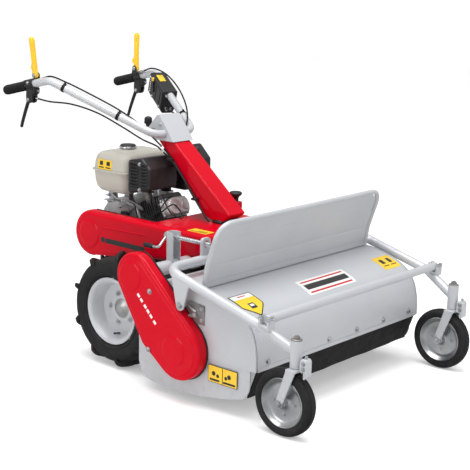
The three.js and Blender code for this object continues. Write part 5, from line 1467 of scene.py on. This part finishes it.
# %% Governor rods, springs and brackets
def spring(shape, start, end, radius, turns, wire):
    a, b = Vector(start), Vector(end)
    ahead = (b - a).normalized()
    side = ahead.orthogonal().normalized()
    up = ahead.cross(side)
    count = turns * 10
    line = [a + (b - a) * (i / count)
            + (side * math.cos(math.pi * i / 5) + up * math.sin(math.pi * i / 5)) * radius
            for i in range(count + 1)]
    return swept(shape, line, wire, 7)


linkage = Shape()
prism(linkage, "x", strip([(205, 600), (262, 622), (305, 618), (352, 634)], 10), -132, -129)
prism(linkage, "x", strip([(150, 590), (196, 600), (238, 566)], 9), -126, -123)
spring(linkage, (-136, 196, 606), (-136, 268, 622), 5.5, 16, 1.1)
spring(linkage, (-122, 214, 586), (-122, 300, 600), 4.5, 18, 1.0)
for start, end, r, sides in (((-134, 268, 622), (-134, 372, 630), 2.2, 12),
                             ((-128, 150, 604), (-128, 236, 626), 2.2, 12),
                             ((-142, 262, 620), (-120, 262, 620), 5, 16),
                             ((-140, 352, 632), (-116, 352, 632), 6, 16)):
    rod(linkage, start, end, r, sides)
box(linkage, -128, -108, 330, 392, 604, 607)
box(linkage, -128, -108, 210, 246, 606, 609)
piece("governor_linkage", linkage, ZINC_PLATE, "chassis", edge=0.4, steps=2)
filler = turned(Shape(), "x", (0, 376, 452), [(0, -118), (15, -118), (15, -128), (12, -131), (12, -140),
                                              (9, -143), (0, -143)], 32)
piece("oil_filler_cap", filler, BLACK_PLASTIC, "chassis")
switch = prism(Shape(), "x", rounded(236, 272, 530, 572, 5), -140, -118)
piece("coil_housing", switch, BLACK_PLASTIC, "chassis", edge=2)
print("linkage done")

# %% [markdown]
# ## Handlebar column
# A folded red box section leans back from its foot to the clamp head. Its folds have a real radius,
# which catches the light as a bright line down each edge. The clamp head is a light grey pressed
# cap with the tube through it.

# %% Column, its knobs and the clamp head
column = prism(Shape(), "x", [(41, 893), (136, 893), (-142, 600), (-180, 590), (-240, 590), (-283, 623)],
               -50, 50)
piece("column_box", column, RED_PAINT, "column", ["handle_column"], edge=7, steps=4)
foot = turned(Shape(), "z", (0, -215, 0), [(0, 580.6), (55, 580.6), (56, 582), (56, 588), (52, 590.5),
                                           (50, 597), (0, 597)],
              64)
piece("column_foot", foot, BLACK_STEEL, "column")
boss = prism(Shape(), "z", rounded(44, 100, -226, -172, 14), 592, 656)
piece("knob_boss", boss, RED_PAINT, "column", edge=3)
piece("knob_washer", rod(Shape(), (79, -199, 655.5), (79, -199, 656.2), 15), ZINC_PLATE, "column")


def star_knob(name, x, y, z, profile, body, stands_for):
    shape = turned(Shape(), "z", (x, y, z), profile, 56)
    return piece(name, shape, BLACK_PLASTIC, body, stands_for)


star_knob("column_knob_grip", 79, -199, 656.3,
          [(0, 0), (13, 0), (12.4, 6), (13, 14), (16.5, 21), (24, 27.5), (27, 31),
          (27.6, 34.5), (26.5, 38), (22, 41), (12, 42.8), (0, 43)], "column_knob", ["column_knob"])
star_knob("height_knob_grip", -51, 195, 944.3,
          [(0, 0), (9, 0), (9, 5), (13, 11), (15.5, 20), (15.8, 28), (14.5, 35),
          (11.5, 40), (6, 42.6), (0, 43)], "height_knob", ["height_knob"])
flutes = rod(Shape(), (-35.5, 195, 956), (-36.8, 195, 981), 2.2, 10)
ring_of("height_knob_flutes", flutes, BLACK_PLASTIC, "height_knob", 10, (-51, 195, 950), (0, 0, 1), edge=0.5)
lever = rod(Shape(), (50.4, -38, 770), (64, -38, 770), 12, 40)
swept(lever, smooth_line([(59, -38, 770), (61, -22, 790), (65, 2, 817), (68, 20, 840)], 6), 4.5, 20)
piece("gear_lever_rod", lever, ZINC_PLATE, "gear_lever", ["gear_lever"], edge=0.8)
knob = turned(Shape(), "z", (68.5, 18, 828), [(0, 0), (9, 0), (11, 3), (15, 14), (15.4, 24), (13, 32),
                                              (8, 37.6), (0, 39)],
              48)
piece("gear_lever_knob", knob, BLACK_PLASTIC, "gear_lever")
HEAD_HALF = 62
head_line = [(34, 893.4), (150, 893.4), (178, 948), (132, 1000), (116, 1000)]
head = prism(Shape(), "x", head_line, -HEAD_HALF, HEAD_HALF)
tube_way = rod(Shape(), (-90, 91, 924), (90, 91, 924), 17.5, 48)
hollow = prism(Shape(), "x", [(56, 885), (200, 885), (210, 950), (136, 985), (118, 985)],
               -HEAD_HALF + 6, HEAD_HALF - 6)
piece("clamp_head_cap", head, SILVER_PAINT, "column", ["clamp_head"], edge=6, steps=4,
      cutters=[hollow, tube_way])
lug = box(Shape(), -HEAD_HALF, -38, 140, 208, 922, 943.8)
piece("clamp_lug", lug, SILVER_PAINT, "column", edge=3)
cheeks = Shape()
for end in (-1, 1):
    heads(cheeks, [(end * HEAD_HALF, 112, 962), (end * HEAD_HALF, 140, 922)], (end * 6, 0, 0), 6)
piece("clamp_bolts", cheeks, ZINC_PLATE, "column", edge=0.6)
print("column done")

# %% [markdown]
# ## Handlebar
# One tube runs from grip to grip through the clamp head. The grips are soft rubber sleeves with
# finger ridges, and the ridges are rings copied along each grip by the row tree.

# %% Tube and grips
BAR_R, GRIP_R, BAR_END = 17, 20.5, (335, 800, 1064)
GRIP_DIR = Vector((0.0491, 0.9724, -0.2282))
PERCH_AT = Vector((326.55, 632.75, 1103.25))


def mirrored(point, side):
    return Vector((point[0] * side, point[1], point[2]))


near_end = Vector(BAR_END) - GRIP_DIR * 6
bar = [mirrored(near_end, -1), (-321, 523, 1129), (-118, 91, 924), (118, 91, 924), (321, 523, 1129), near_end]
piece("handlebar_pipe", swept(Shape(), bent(bar, 70, 16), BAR_R, 40), SILVER_PAINT, "handlebar",
      ["handlebar_tube"])


def grip_point(side, from_end):
    """A point on a grip's axis, by its distance from the bar's end."""
    return mirrored(Vector(BAR_END) - GRIP_DIR * from_end, side)


def sleeve(places, side, sides):
    """A sleeve on a grip's axis; places are (distance from the bar's end, share of the grip's radius)."""
    last = len(places) - 1
    return swept(Shape(), [grip_point(side, d) for d, _ in places], GRIP_R, sides,
                 taper=lambda t: places[round(t * last)][1])


GRIP = [(0, 0.55), (1.2, 0.8), (4, 0.96), (8, 1.02), (16, 1.0), (70, 0.97), (128, 0.99), (133, 1.0),
        (134.5, 1.18), (141, 1.2), (143, 1.1), (144.5, 0.9)]
RIDGE = [(123, 0.965), (121.8, 1.035), (120.5, 1.06), (119.2, 1.035), (118, 0.965)]
for name, side in SIDES:
    piece(f"grip_sleeve_{name}", sleeve(GRIP, side, 48), SOFT_RUBBER, "handlebar", [f"grip_{name}"])
    step = grip_point(side, 0) - grip_point(side, 8.6)
    row_of(f"grip_ridges_{name}", sleeve(RIDGE, side, 40), SOFT_RUBBER, "handlebar", 13, step)
print("bar done")

# %% [markdown]
# ## Lever perches
# Each grip has a black clamp that carries two levers: an upright yellow one that is pressed down on
# the grip, and a hanging brake lever. The perch is drawn in its own offsets from the clamp's middle.

# %% Perches and levers
def perch_point(side, offset, y, z):
    return (side * (PERCH_AT.x + offset), PERCH_AT.y + y, PERCH_AT.z + z)


def plate_at(shape, side, low, high, outline, colour=0):
    """A flat plate across x beside a perch, between two offsets."""
    return shape.loft([[perch_point(side, at, y, z) for y, z in outline] for at in (low, high)],
                      colour=colour)


for name, side in SIDES:
    def at(*offset):
        return perch_point(side, *offset)

    a, b = PERCH_AT - GRIP_DIR * 20, PERCH_AT + GRIP_DIR * 20
    perch = rod(Shape(), mirrored(a, side), mirrored(b, side), 24.6, 48)
    plate_at(perch, side, -35.8, -1, [(-16, 10), (16, 10), (16, 22.6), (-16, 22.6)])
    plate_at(perch, side, -36, -30.4, [(-16, 11), (16, 11), (12, 44), (6, 50), (0, 52), (-6, 50), (-12, 44)])
    plate_at(perch, side, -16, 16, [(-18, 0), (13, 0), (20, -26), (22, -50), (-20, -50)])
    for low, high in ((-16, -7.5), (7.5, 16)):
        plate_at(perch, side, low, high,
                 [(22, -48), (20, -74), (12, -80), (4, -82), (-14, -76), (-20, -60), (-20, -48)])
    plate_at(perch, side, -16, 16, [(-22, -8), (-34, -14), (-34, -34), (-20, -44)])
    piece(f"perch_body_{name}", perch, BLACK_STEEL, "handlebar", [f"perch_{name}"], edge=1.8)
    pins = Shape()
    hex_head(pins, at(-36, 0, 38), at(-41, 0, 38), 6.5)
    rod(pins, at(-31, 0, 38), at(-8.5, 0, 38), 4, 24)
    hex_head(pins, at(-10.6, 0, 38), at(-6.5, 0, 38), 7)
    hex_head(pins, at(16, 8, -66), at(20, 8, -66), 5.5)
    hex_head(pins, at(-16, 8, -66), at(-20, 8, -66), 5.5)
    rod(pins, at(-17, 8, -66), at(17, 8, -66), 4, 24)
    hex_head(pins, at(24, 0, 8), at(29, 0, 8), 5)
    rod(pins, at(-20, -14, 18), at(-20, -34, 23), 6, 24)
    rod(pins, at(-20, -34, 23), at(-20, -45, 25.6), 4.6, 24)
    rod(pins, at(0, -32, -24), at(0, -46, -26), 5.5, 24)
    piece(f"perch_fittings_{name}", pins, ZINC_PLATE, "handlebar", edge=0.5, steps=2)
    lever = Shape()
    rings = []
    for along, y0, y1, width in ((-12, -6, 6, 8), (-8, -10.5, 10, 9), (0, -12, 12.5, 9.3),
                                 (10, -11, 12.5, 9.3), (20, -10, 11, 9.4), (32, -9.6, 11, 10),
                                 (60, -9, 10.5, 9.6), (110, -9.8, 11, 9.4), (140, -10.6, 11.6, 10),
                                 (152, -10.4, 11.4, 10), (160, -8, 9, 8), (164.5, -4, 5, 5)):
        splay = max(along, 0) / 164
        middle = -20.3 + 12 * splay ** 1.3
        rings.append([at(middle + u, v + 9 * splay ** 1.3, 38 + along)
                      for u, v in rounded(-width, width, y0, y1, min(width, 5.5) * 0.85, 5)])
    lever.loft(rings)
    rod(lever, at(-29.4, 0, 38), at(-11, 0, 38), 12, 40)
    plate_at(lever, side, -28.5, -12, [(2, 64), (14, 60), (20, 68), (19, 80), (10, 88), (2, 86)])
    piece(f"yellow_lever_{name}", lever, YELLOW, f"drop_lever_{name}", [f"drop_lever_{name}"], edge=0.7,
          steps=2)
    curve = smooth_line([at(0, 10, -66), at(0, 22, -74), at(0, 34, -96),
                         at(0, 50, -132), at(0, 64, -166), at(0, 72, -188)], 7)
    brake = swept(Shape(), curve, 8, 24,
                  taper=lambda t: 0.7 + 0.35 * math.sin(min(t * 5, math.pi / 2)) - 0.2 * t)
    turned(brake, "z", curve[-1], [(u, v) for v, u in arc((0, 0), 7.4, 7.4, 0, 180, 12)], 32)
    plate_at(brake, side, -5.6, 5.6,
             [(-2, -68), (2, -60), (12, -56), (19, -64), (22, -78), (10, -76), (0, -74)])
    piece(f"brake_lever_arm_{name}", brake, BLACK_PLASTIC, f"brake_lever_{name}", [f"brake_lever_{name}"],
          edge=0.6, steps=2)
print("levers done")

# %% [markdown]
# ## Control box
# The box with the throttle lever is clipped round the left arm of the bar, so it is drawn along
# that arm's own three directions and turned into place by one function.

# %% Control box and throttle lever
ARM_DIR, ARM_SIDE = Vector((0.391, 0.832, 0.395)).normalized(), Vector((0.905, -0.425, 0)).normalized()
ARM_UP = ARM_SIDE.cross(ARM_DIR)
ARM_START = Vector((118, 91, 924)) + ARM_DIR * 300


def on_arm(x, along, z):
    return tuple(ARM_START + ARM_SIDE * x + ARM_DIR * along + ARM_UP * z)


BOX = taut([(-30, 14, 10), (-30, -64, 10), (-20, -82, 10), (18, -82, 10), (24, -66, 10), (24, 14, 10)], 96)
box_rings = [[on_arm(x, back_off, z) for x, z in BOX(-inset)] for inset, back_off in fillet(6, 4)[::-1]]
box_rings += [[on_arm(x, 180 - back_off, z) for x, z in BOX(-inset)] for inset, back_off in fillet(6, 4)]
control = Shape().loft(box_rings)
for x0, x1, a0, a1, z0, z1 in ((-42, -39, 24, 60, -58, 4), (-41.6, -39, 78, 84, -66, 8)):
    control.loft([[on_arm(x, a, z) for a, z in rounded(a0, a1, z0, z1, 2.8)] for x in (x1 + 1.5, x0)])
piece("control_box_shell", control, BLACK_PLASTIC, "handlebar", ["control_box"], edge=0.8)
marks = Shape()
for i in range(7):
    a, z = 122 + 5 * math.sin(0.5 * i) + 26, -60 + 11 * i
    marks.loft([[on_arm(x, u, v) for u, v in rounded(a, a + 9, z, z + 4.5, 1.2, 3)] for x in (-39.4, -40.5)])
piece("throttle_marks", marks, PLATE_WHITE, "handlebar")
bolts = Shape()
for x, a, z in ((-40, 118, -66), (-40, 20, -66), (-40, 166, 6)):
    hex_head(bolts, on_arm(x, a, z), on_arm(x - 4.5, a, z), 5.4)
for x, z in ((-14, -66), (6, -60), (-24, 4)):
    rod(bolts, on_arm(x, 1, z), on_arm(x, -12, z), 5.5, 24)
    rod(bolts, on_arm(x, -12, z), on_arm(x, -20, z), 4.4, 24)
piece("control_box_fittings", bolts, ZINC_PLATE, "handlebar", edge=0.6)
lever = rod(Shape(), on_arm(-40.4, 110, -30), on_arm(-47.3, 110, -30), 9.5, 32)
arm = [(104.5, -30), (115.5, -30), (122, -10), (129, 12), (127, 17), (119, 17)]
lever.loft([[on_arm(x, a, z) for a, z in arm] for x in (-41.4, -46.2)])
piece("throttle_arm", lever, BLACK_STEEL, "throttle_lever", ["throttle_lever"], edge=1.1)
tip = Shape().loft([[on_arm(x, a, z) for a, z in rounded(116.5, 131, 8, 26, 5)] for x in (-40.9, -47.6)])
piece("throttle_tip", tip, YELLOW, "throttle_lever", edge=1.5)
cap = Shape().loft([[on_arm(x, a, z) for x, a in rounded(-22, 8, 92, 150, 3)] for z in (23.9, 25.2)])
piece("control_box_plate", cap, PLATE_YELLOW, "handlebar", edge=0.4, steps=2)
print("control box done")

# %% [markdown]
# ## Cables
# Control cables are held by the bar along their whole length, so each is a smooth tube through its
# clips. A plated ferrule and a soft sleeve finish each end, where the real ones are crimped.

# %% Cables, ferrules and straps
CABLE_R = 3.5
CABLES = {
    "clutch_cable_right": [(-306, 588, 1131), (-296, 545, 1143), (-272, 470, 1122), (-226, 372, 1078),
                           (-172, 250, 1018), (-134, 172, 966), (-112, 142, 932), (-84, 118, 896),
                           (-60, 104, 868)],
    "clutch_cable_left": [(306, 588, 1131), (296, 520, 1150), (264, 400, 1136), (214, 270, 1084),
                          (160, 170, 1016), (112, 118, 964), (84, 104, 928), (68, 88, 880)],
    "brake_cable_right": [(-326, 606, 1046), (-306, 545, 1036), (-262, 452, 1030), (-212, 345, 1000),
                          (-160, 232, 942), (-118, 160, 896), (-76, 114, 868), (-63.5, 98, 850)],
    "throttle_cable": [(204, 338, 990), (180, 292, 986), (152, 226, 975), (118, 150, 955), (90, 120, 936),
                       (72, 104, 896)]}
for name, route in CABLES.items():
    line = smooth_line(route, 12)
    piece(f"{name}_sheath", swept(Shape(), line, CABLE_R, 20), SOFT_RUBBER, "handlebar", [name])
    ends = Shape()
    for a, b in ((line[0], line[3]), (line[-1], line[-4])):
        rod(ends, a, Vector(a) + (Vector(b) - Vector(a)) * 0.8, CABLE_R + 1.3, 24)
    piece(f"{name}_ferrules", ends, ZINC_PLATE, "handlebar", edge=0.5, steps=2)


def strap(name, along, side):
    """A rubber band round the bar's arm with its tail."""
    low, high = mirrored((118, 91, 924), side), mirrored((321, 523, 1129), side)
    middle, ahead = low + (high - low) * along, (high - low).normalized()
    up = (Vector((0, 0, 1)) - ahead * ahead.z).normalized()
    shape = rod(Shape(), middle - ahead * 7, middle + ahead * 7, BAR_R + 2, 40)
    rod(shape, middle + up * 14, middle + up * 26 + ahead * 4, 4.5, 16)
    piece(name, shape, SOFT_RUBBER, "handlebar", edge=1)


strap("bar_strap_right", 0.34, -1)
strap("bar_strap_right_upper", 0.86, -1)
strap("bar_strap_left", 0.25, 1)
print("cables:", len(CABLES))

# %% [markdown]
# ## Cables down the column
# From the bar the sheaths run down beside the column, over the engine and into the gear case. They
# are clipped to the column's side, and they ride with it.

# %% Cables beside the column
COLUMN_CABLES = {
    "column_cable_left": [(74, 92, 868), (69.6, 66, 838), (64.6, 6, 768), (64.6, -60, 700), (68, -128, 622)],
    "column_cable_left_rear": [(66, 88, 866), (62, 66, 838), (57, 6, 768), (57, -60, 700), (60, -128, 622)],
    "column_cable_outer": [(-60, 92, 844), (-62, 40, 812), (-66, -20, 758), (-70, -84, 690), (-78, -150, 628),
                           (-84, -196, 590)],
    "column_cable_inner": [(-54.2, 96, 858), (-54.2, 56, 828), (-54.2, 2, 772), (-56, -62, 704),
                           (-58, -118, 640), (-62, -160, 596)]}
for name, route in COLUMN_CABLES.items():
    piece(name, swept(Shape(), smooth_line(route, 12), 3.6, 18), SOFT_RUBBER, "column")
clips = Shape()
for y, z in ((50, 818), (-96, 668)):
    box(clips, -71, -50.4, y - 12, y + 16, z - 5, z + 5)
piece("cable_clips", clips, BLACK_PLASTIC, "column", edge=2)
ENGINE_CABLES = {
    "stop_cable": [(-112, 214, 622), (-150, 150, 560), (-156, 84, 560), (-140, 26, 604), (-112, -18, 640),
                   (-96, -40, 618), (-100, -66, 590)],
    "throttle_feed": [(20, 104, 628), (-30, 70, 650), (-96, 40, 646), (-150, 30, 610), (-168, 60, 584),
                      (-160, 120, 588)],
    "plug_loop": [(-96, 60, 668), (-128, 10, 640), (-138, -40, 604), (-120, -78, 590)]}
for name, route in ENGINE_CABLES.items():
    piece(name, swept(Shape(), smooth_line(route, 12), 3.0, 16), SOFT_RUBBER, "chassis")
print("cables beside the column:", len(COLUMN_CABLES) + len(ENGINE_CABLES))

# %% [markdown]
# ## Plates and stripes
# Safety plates are thin stickers. Here they are plain yellow or pale plates with a plain border and
# stripes, with no lettering and no sign. On a curved sheet a plate has to bend with it, so its
# corners are laid on the hood's own rolled line by how far along it they are.

# %% Plates laid on flats and on the hood
ROLLED_V = [Vector(p) for p in ROLLED]


def on_hood(x, along, lift):
    """A point on the hood sheet's outer face: along is measured from its front lower edge."""
    left = along
    for a, b in zip(ROLLED_V, ROLLED_V[1:]):
        run = (b - a).length
        if left <= run:
            ahead = (b - a) / run
            spot = a + ahead * left + Vector((-ahead.y, ahead.x)) * lift
            return (x, spot.x, spot.y)
        left -= run
    return (x, ROLLED_V[-1].x, ROLLED_V[-1].y)


def hood_plate(shape, x0, x1, a0, a1, lift, colour, columns=10, rows=10, point=None):
    """A plate between two places across and two along the hood.

    With point, that share of its length narrows to a point at its lower edge.
    """
    middle, wide, sheets = (x0 + x1) / 2, columns + 1, []
    for height in (lift, lift - 0.8):
        sheet = []
        for i in range(rows + 1):
            t = i / rows
            half = (x1 - x0) / 2 * (min(1.0, 0.04 + t / point) if point else 1)
            sheet += [on_hood(middle + half * (2 * j / columns - 1), a0 + (a1 - a0) * t, height)
                      for j in range(wide)]
        sheets.append(sheet)
    top = [(i * wide + j, i * wide + j + 1, (i + 1) * wide + j + 1, (i + 1) * wide + j)
           for i in range(rows) for j in range(columns)]
    faces = top + [tuple((rows + 1) * wide + k for k in reversed(face)) for face in top]
    rim = list(range(columns)) + [columns + i * wide for i in range(rows)]
    rim += [rows * wide + columns - j for j in range(columns)] + [(rows - i) * wide for i in range(rows)]
    faces += [(a, b, (rows + 1) * wide + b, (rows + 1) * wide + a) for a, b in zip(rim, rim[1:] + rim[:1])]
    return shape.add(sheets[0] + sheets[1], faces, colour)


def flat_plate(shape, corner, across, up, width, height, normal, layers):
    """Plain plates on a flat: layers are (left, right, low, high, lift, colour) in shares."""
    corner, across, up, normal = (Vector(v) for v in (corner, across, up, normal))
    for left, right, low, high, lift, colour in layers:
        outline = rounded(left * width, right * width, low * height, high * height,
                          min(2.0, height * 0.05), 3)
        shape.loft([[corner + across * u + up * v + normal * h for u, v in outline]
                    for h in (lift - 0.8, lift)], colour=colour)
    return shape


PRINTS = (PLATE_YELLOW, PRINT_BLACK, PLATE_WHITE, PRINT_RED)
side_label = flat_plate(Shape(), (-DECK_X, -612, 117), (0, -1, 0), (0, 0, 1), 143, 66, (-1, 0, 0), [
    (0, 1, 0, 1, 1.0, 1), (0.012, 0.988, 0.03, 0.97, 1.3, 0), (0.06, 0.40, 0.10, 0.22, 1.5, 1),
    (0.52, 0.94, 0.10, 0.22, 1.5, 1), (0.495, 0.503, 0.03, 0.97, 1.5, 1)])
for u, v, r in ((-640, 152, 9), (-660, 146, 7), (-716, 154, 9), (-700, 146, 7)):
    rod(side_label, (-DECK_X - 0.8, u, v), (-DECK_X - 1.6, u, v), r, 28, 1)
piece("deck_side_plate_label", side_label, PRINTS, "chassis")
print("deck width", round(2 * DECK_X))

# %% Plates on the hood, the covers and the tank
labels = Shape()
hood_plate(labels, -499, -379, 200, 330, 0.9, 1, 8, 12, point=0.4)
hood_plate(labels, -494, -384, 206, 326, 1.2, 0, 8, 12, point=0.4)
hood_plate(labels, -494, -384, 300, 326, 1.4, 2, rows=3)
hood_plate(labels, -462, -418, 312, 317, 1.6, 3, rows=1)
hood_plate(labels, -456, -424, 238, 268, 1.4, 1, rows=3)
hood_plate(labels, -450, -430, 250, 262, 1.6, 2, rows=2)
hood_plate(labels, 398, 512, 228, 312, 0.9, 0)
for x0, x1, a0, a1 in ((412, 450, 246, 251), (462, 500, 246, 251),
                       (420, 444, 262, 292), (470, 492, 262, 292)):
    hood_plate(labels, x0, x1, a0, a1, 1.2, 1, rows=2, columns=2)
hood_plate(labels, -128, 176, 218, 306, 0.9, 2)
for a0, a1, colour in ((226, 234, 3), (246, 276, 1), (288, 296, 3)):
    hood_plate(labels, -112, 160, a0, a1, 1.2, colour, rows=2, columns=6)
piece("hood_plates", labels, PRINTS, "chassis")
labels = Shape()
for outline in (rounded(2, 238, 454, 476, 4, 4), circle((254, 466), 13, 40)):
    labels.loft([[(x, y, z) for y, z in outline] for x in (COVER_RIGHT + 0.3, COVER_RIGHT - 0.5)], colour=1)
flat_plate(labels, (-236, -318, 580.2), (0, 1, 0), (1, 0, 0), 104, 52, (0, 0, 1), [
    (0, 1, 0, 1, 0.6, 0), (0.08, 0.92, 0.16, 0.28, 0.9, 1), (0.08, 0.62, 0.42, 0.54, 0.9, 1)])
flat_plate(labels, (-174.6, 379, 751), (0, -1, 0), (0.1, 0, 0.995), 86, 42, (-0.995, 0, 0.1), [
    (0, 1, 0, 1, 0.5, 0), (0.08, 0.44, 0.14, 0.26, 0.8, 1), (0.56, 0.92, 0.14, 0.26, 0.8, 1),
    (0.14, 0.36, 0.42, 0.84, 0.8, 1), (0.62, 0.86, 0.42, 0.84, 0.8, 1)])
slope = Vector((0, -0.697, -0.716))
flat_plate(labels, (CASE_OUT_X - 0.1, -292, 402), slope, (0, 0.716, -0.697), 150, 11, (-1, 0, 0), [
    (start, start + 0.11, 0, 1, 0.6, 2) for start in (0, 0.15, 0.34, 0.49, 0.64, 0.83)])
piece("cover_plates", labels, PRINTS, "chassis")
print("plates done")

# %% [markdown]
# ## Parts that keep their own shape
# The rotor, the belt, the jackshaft and the crankshaft's pulley sit inside their cases, and their
# solids already have the right shape. They only need the finish of worked steel and belt rubber.

# %% Finishes for the inner parts
for name, finish in (("flail_rotor", WORN_STEEL), ("jackshaft", WORN_STEEL), ("flail_belt", SOFT_RUBBER),
                     ("crankshaft_pulley", DARK_CAST)):
    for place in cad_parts[name].material_slots:
        place.material = finish.material
shown = [name for name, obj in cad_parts.items() if not obj.hide_render]
print("nodes still shown:", shown)
